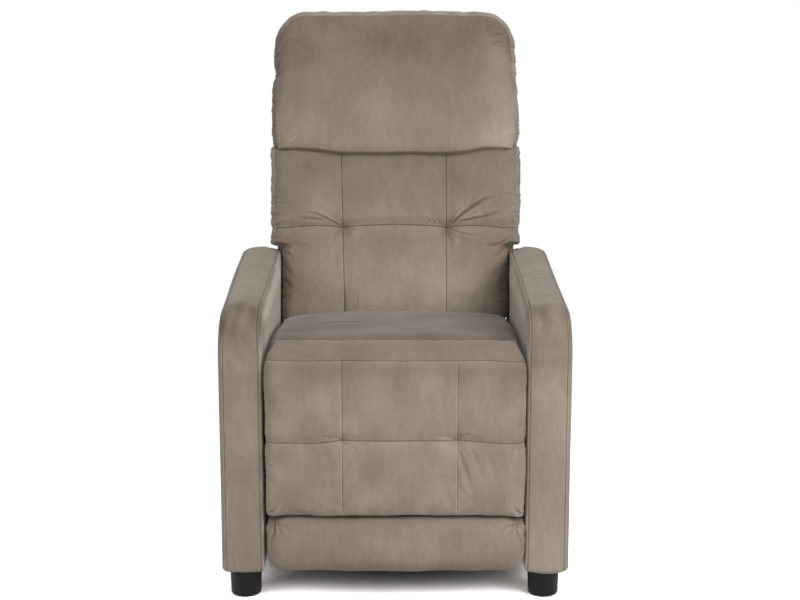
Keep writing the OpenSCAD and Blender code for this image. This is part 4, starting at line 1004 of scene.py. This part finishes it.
def arm_section():
    """(x from the inner face, inset from the outline) across an arm, from the inner panel to the outer one."""
    inner = [(0.7, 60), (0.6, 46), (0.5, 34), (0.5, 25), (0.5, 18), (0.5, 13), (0.5, 9)]
    near = [(5.3 - 4.8 * math.cos(a), 5.3 - 4.8 * math.sin(a)) for a in np.radians(np.linspace(12, 82, 6))]
    strip = [(x, 0.0) for x in (7.4, 8.2, 9.4, 10.8, 12.6, 15, 18, 22, 27, 32, 37, 42, 47, 52, 56, 59.5, 62, 64,
            65.6)]
    far = [(ARM_W - 10.6 + 10 * math.cos(a), 10.2 - 10 * math.sin(a)) for a in np.radians(np.linspace(80, 8, 9))]
    outer = [(ARM_W - 0.6, v) for v in (13, 18, 25, 34, 46, 60)]
    return inner + near + [(5.5, 0.9), (SEAM_IN, 1.5), (6.3, 0.9)] + strip + [(SEAM_OUT - 0.6, 0.5), (SEAM_OUT, 1.2),
            (SEAM_OUT + 0.6, 0.6)] + far + outer


def arm_crown(x, inset, top):
    """How far the strip lies below the crown's highest line, on top of the arm (top = 1) or on its front (0)."""
    upper = 3.0 * clamp01((22 - x) / 20) ** 2 - 3.4 * ease((x - 22) / 14) + 10 * clamp01((x - 42) / 35) ** 2
    front = 2.6 * np.abs(clamp01(np.abs(x - ARM_W / 2) / 32)) ** 2
    return ((1 - top) * front + top * upper) * ease((75 - inset) / 55)


def arm(side, name, node):
    sign = -1 if side == "left" else 1
    section = np.array(arm_section())
    steps = np.concatenate([[0], np.cumsum(np.hypot(*np.diff(section, axis=0).T))])
    at_in = steps[np.argmin(np.abs(section[:, 0] - SEAM_IN) + 9 * (np.abs(section[:, 1] - 1.5) > 0.1))]
    at_out = steps[np.argmin(np.abs(section[:, 0] - SEAM_OUT) + 9 * (np.abs(section[:, 1] - 1.2) > 0.1))]
    base = arm_outline(0)
    centre = np.array([(ARM_FRONT_Y + ARM_REAR_Y) / 2, 300.0])
    length = travelled(base)
    outward = outward_of(base, centre)
    top = ease(outward[:, 1] / 0.85)
    count = len(base)
    seed = 70 if side == "left" else 90
    bend = gauss(base[:, 0] - ARM_FRONT_Y - 30, 75) * gauss(base[:, 1] - 505, 75)

    out_by = 1.4 if side == "left" else 3.0

    def splay(y):
        """The arms stand a little askew: the left one opens to the rear, the right one to the front."""
        return 5.5 * ease((y + 330) / 380) if side == "left" else 1.5 * ease((-y - 40) / 260)

    def panel(x, ring, inner):
        y, z = ring.T
        if inner:
            free = ease((z - 494) / 30) * ease((580 - z) / 30) * ease((y + 360) / 70) * ease((112 - y) / 50)
            return x - 0.9 - 0.4 * ripple(y, z, 170, seed) - 5.2 * free
        return x + out_by + 1.0 + 1.5 * ripple(y, z, 170, seed + 4) + 0.4 * ripple(y, z, 60, seed + 5)

    ends = []
    for i in (0, -1):
        x, inset = section[i]
        first = arm_outline(inset) - outward * arm_crown(x, inset, top)[:, None]
        rings = []
        for k in (0.03, 0.12, 0.22, 0.32, 0.42, 0.52, 0.62, 0.71, 0.79, 0.86, 0.92, 0.97):
            ring = centre + (first - centre) * k
            rings.append(np.column_stack([INNER_HALF + panel(x, ring, i == 0) + (splay(ring[:, 0]) if i else 0),
                    ring]))
        ends.append(rings if i == 0 else rings[::-1])
    for (x, inset), along in zip(section, steps):
        ring = arm_outline(inset) - outward * arm_crown(x, inset, top)[:, None]
        on_strip = clamp01((x - 6) / 12) * clamp01((ARM_W - 8 - x) / 14)
        reach = (0.8 * ripple(length, x, 140, seed + 1)
                + (0.25 + 0.8 * bend) * ripple(length, x * 1.5, 30, seed + 2)) * on_strip
        gathered = pleats(length, np.full(count, abs(along - at_in)), seed + 9, 13, 1.0, 2.2, 7, 0.2)
        gathered = gathered + pleats(length, np.full(count, abs(along - at_out)), seed + 10, 22, 0.7, 3.0, 9, 0.2)
        reach = (reach + gathered * (0.3 + 0.8 * bend + 0.2 * top) + 3.2 * bend * (0.3 + 0.7 * on_strip)
                + 1.2 * top * on_strip)
        ring = ring + outward * reach[:, None]
        inward = ease((45 - inset) / 35) * ease((34 - x) / 26)
        wide = (x + 2.5 * top * inward * ease((60 - ring[:, 0]) / 90)
                + (out_by + splay(ring[:, 0])) * ease((x - 48) / 16))
        if inset > 5 and x < 20:
            wide = wide + (panel(x, ring, True) - x) * ease((inset - 5) / 22)
        elif inset > 5 and x > 50:
            wide = wide + (panel(x, ring, False) - x - out_by) * ease((inset - 5) / 30)
        ends[0].append(np.column_stack([INNER_HALF + wide, ring]))
    loops = ends[0] + ends[1]
    points = np.vstack(loops)
    rings = len(loops)
    grid = points.reshape(rings, count, 3)
    far = np.concatenate([np.full(12, steps[0] - 50), steps, np.full(12, steps[-1] + 50)])
    off_in, off_out = far - at_in, at_out - far
    off = np.where(np.abs(off_in) < np.abs(off_out), off_in, off_out)
    kinds = np.where(np.abs(off_in) < np.abs(off_out), 1.0, 0.0)
    seam = np.zeros((rings, count, 3))
    hidden = 12 * ease((top - 0.35) / 0.4)
    seam[..., 0] = np.where(kinds[:, None] > 0, off[:, None],
            np.sign(off[:, None] + 1e-6) * (np.abs(off[:, None]) + hidden))
    seam[..., 1] = length
    seam[..., 2] = kinds[:, None]
    y, z = grid[..., 1], grid[..., 2]
    on_bend = gauss(y - ARM_FRONT_Y - 42, 60) * gauss(z - 528, 46)
    # darker patches at the front bend, the lower part a little lighter, and the right arm lighter low down
    tint = 0.012 * ripple(y, z, 120, seed + 20) + 0.015 * ease((420 - z) / 300)
    tint = (tint - (0.2 if side == "left" else 0.09) * on_bend * (0.85
            + 0.4 * ripple(z + 0.7 * y, 2.0 * grid[..., 0], 75, seed + 21)))
    tint = tint + (0.0 if side == "left" else 0.05) * ease((470 - z) / 60)
    # painted light: the inner faces painted lighter, the left one most, as lit from the right
    on_inside = ease((INNER_HALF + 4 - grid[..., 0]) / 4)
    tint = tint + (0.28 if side == "left" else 0.14) * on_inside
    faces = grid_faces(rings, count, closed=True)
    points = np.vstack([points, grid[0].mean(0), grid[-1].mean(0)])
    a, b = rings * count, rings * count + 1
    for j in range(count):
        k = (j + 1) % count
        faces.append((a, k, j))
        faces.append((b, (rings - 1) * count + j, (rings - 1) * count + k))
    seam = np.vstack([seam.reshape(-1, 3), [50, 0, 0], [50, 0, 0]])
    tint = np.concatenate([tint.ravel(), [0, 0]])
    if sign < 0:
        points[:, 0] *= -1
        faces = [f[::-1] for f in faces]
    make_object(name, points, faces, "base", node, seam, tint)


arm("left", "arm_cover_left", "arm_upholstery_left")
arm("right", "arm_cover_right", "arm_upholstery_right")


# ---- covered panels

def covered_panel(name, node, body, low, high, round_r, seed, front):
    """A thin padded board: its two faces bow out a little, and its edges are rounded."""
    half = (high[0] - low[0]) / 2
    xs = respaced(np.linspace(-half, half, 300), [-half, half], 0, 9, 2, 4)[:, 0]
    zs = respaced(np.linspace(low[2], high[2], 300), [low[2], high[2]], 0, 9, 2, 4)[:, 0]
    X, Z = np.meshgrid(xs, zs)
    mid_y, t = (low[1] + high[1]) / 2, (high[1] - low[1]) / 2
    edge = np.minimum.reduce([half - np.abs(X), Z - low[2], high[2] - Z])
    thick = t * np.sqrt(clamp01(1 - (1 - clamp01(edge / round_r)) ** 2))
    wave = 0.8 * ripple(X, Z, 120, seed) * clamp01(edge / 20)
    points = []
    for sign in (-1, 1):
        Y = mid_y + sign * (thick - 0.9 + np.where(sign == front, wave, 0))
        points.append(np.stack([X, Y, Z], -1).reshape(-1, 3))
    n, m = X.shape
    first = grid_faces(n, m)
    faces = first + [tuple(v + n * m for v in f[::-1]) for f in first]
    rim = rim_of(n, m)
    for a in range(len(rim)):
        b = (a + 1) % len(rim)
        faces.append((rim[b], rim[a], rim[a] + n * m, rim[b] + n * m))
    every = np.vstack(points)
    seam = np.column_stack([np.full(len(every), 50.0), every[:, 0], np.zeros(len(every))])
    make_object(name, every, faces, body, node, seam, np.zeros(len(every)))


covered_panel("rear_cover", "rear_panel", "base", PANEL_LOW, PANEL_HIGH, 8, 101, 1)
covered_panel("seat_border_cover", "seat_front_border", "seat", BORDER_LOW, BORDER_HIGH, 4, 102, -1)


# ---- studio

FLOOR_WHITE = 2.6                            # how pale the paper floor is to the camera only, so that its shadow stays
# a painted shadow: the paper's colour to the camera is darker right under the chair
FLOOR_PAINTED_SHADOW, FLOOR_LIGHT = 0.7, 0.6           # right under the chair, and for light that the floor throws back
SKY_LIGHT = 0.3
CAMERA_PLACE, CAMERA_DOWN, CAMERA_LENS = (0.0103, -3.29, 1.153), 11.2, 74.25


def grey(v):
    return v, v, v, 1


def studio():
    scene = bpy.context.scene
    scene.view_settings.view_transform = "Standard"
    world = bpy.data.worlds.new("studio")
    scene.world = world
    world.use_nodes = True
    n = Nodes(world.node_tree)
    n.tree.nodes.clear()
    skies = []
    for strength in (SKY_LIGHT, 1.0):
        sky = n.add("ShaderNodeBackground")
        sky.inputs["Color"].default_value = grey(1)
        sky.inputs["Strength"].default_value = strength
        skies.append(sky.outputs[0])
    n.link(n.either(n.seen(), *skies), n.add("ShaderNodeOutputWorld").inputs["Surface"])

    bpy.ops.mesh.primitive_plane_add(size=24, location=(0, 0, 0))
    floor = bpy.context.active_object
    floor.name = "floor"
    material, n, shader, place = new_material("floor")
    n.tree.nodes.remove(shader)
    plain = n.add("ShaderNodeBsdfDiffuse")
    plain.inputs["Color"].default_value = grey(FLOOR_LIGHT)
    paper = n.add("ShaderNodeBsdfDiffuse")
    glow = n.add("ShaderNodeEmission")
    glow.inputs["Strength"].default_value = 1.0
    length = n.add("ShaderNodeVectorMath", operation="LENGTH")
    n.link(place, length.inputs[0])
    away = length.outputs["Value"]
    # painted shadow: the paper's colour darkens right under the chair
    n.link(n.mix(n.range(away, 0.22, 0.35), grey(FLOOR_PAINTED_SHADOW), grey(FLOOR_WHITE)), paper.inputs["Color"])
    shown = n.either(n.range(away, 0.62, 1.15), paper.outputs[0], glow.outputs[0])
    n.link(n.either(n.seen(), plain.outputs[0], shown), n.tree.nodes["Material Output"].inputs["Surface"])
    floor.data.materials.append(material)

    def lamp(name, place, aim, size, power):
        data = bpy.data.lights.new(name, "AREA")
        data.shape, data.size, data.size_y, data.energy = "RECTANGLE", size[0], size[1], power
        light = bpy.data.objects.new(name, data)
        scene.collection.objects.link(light)
        light.location = place
        light.rotation_euler = Vector(np.array(aim) - np.array(place)).to_track_quat("-Z", "Y").to_euler()

    lamp("key", (2.2, -2.6, 2.3), (0, 0, 0.5), (1.6, 1.8), 94)
    lamp("fill", (-2.4, -2.5, 1.9), (0, 0, 0.6), (1.8, 2.2), 46)
    lamp("top", (0.0, 0.3, 3.3), (0, 0, 0.3), (2.6, 2.6), 20)

    data = bpy.data.cameras.new("camera")
    data.sensor_width, data.lens = 36, CAMERA_LENS
    camera = bpy.data.objects.new("camera", data)
    scene.collection.objects.link(camera)
    camera.location = CAMERA_PLACE
    camera.rotation_euler = (math.radians(90 - CAMERA_DOWN), 0, 0)
    data.clip_end = 60
    scene.camera = camera


studio()
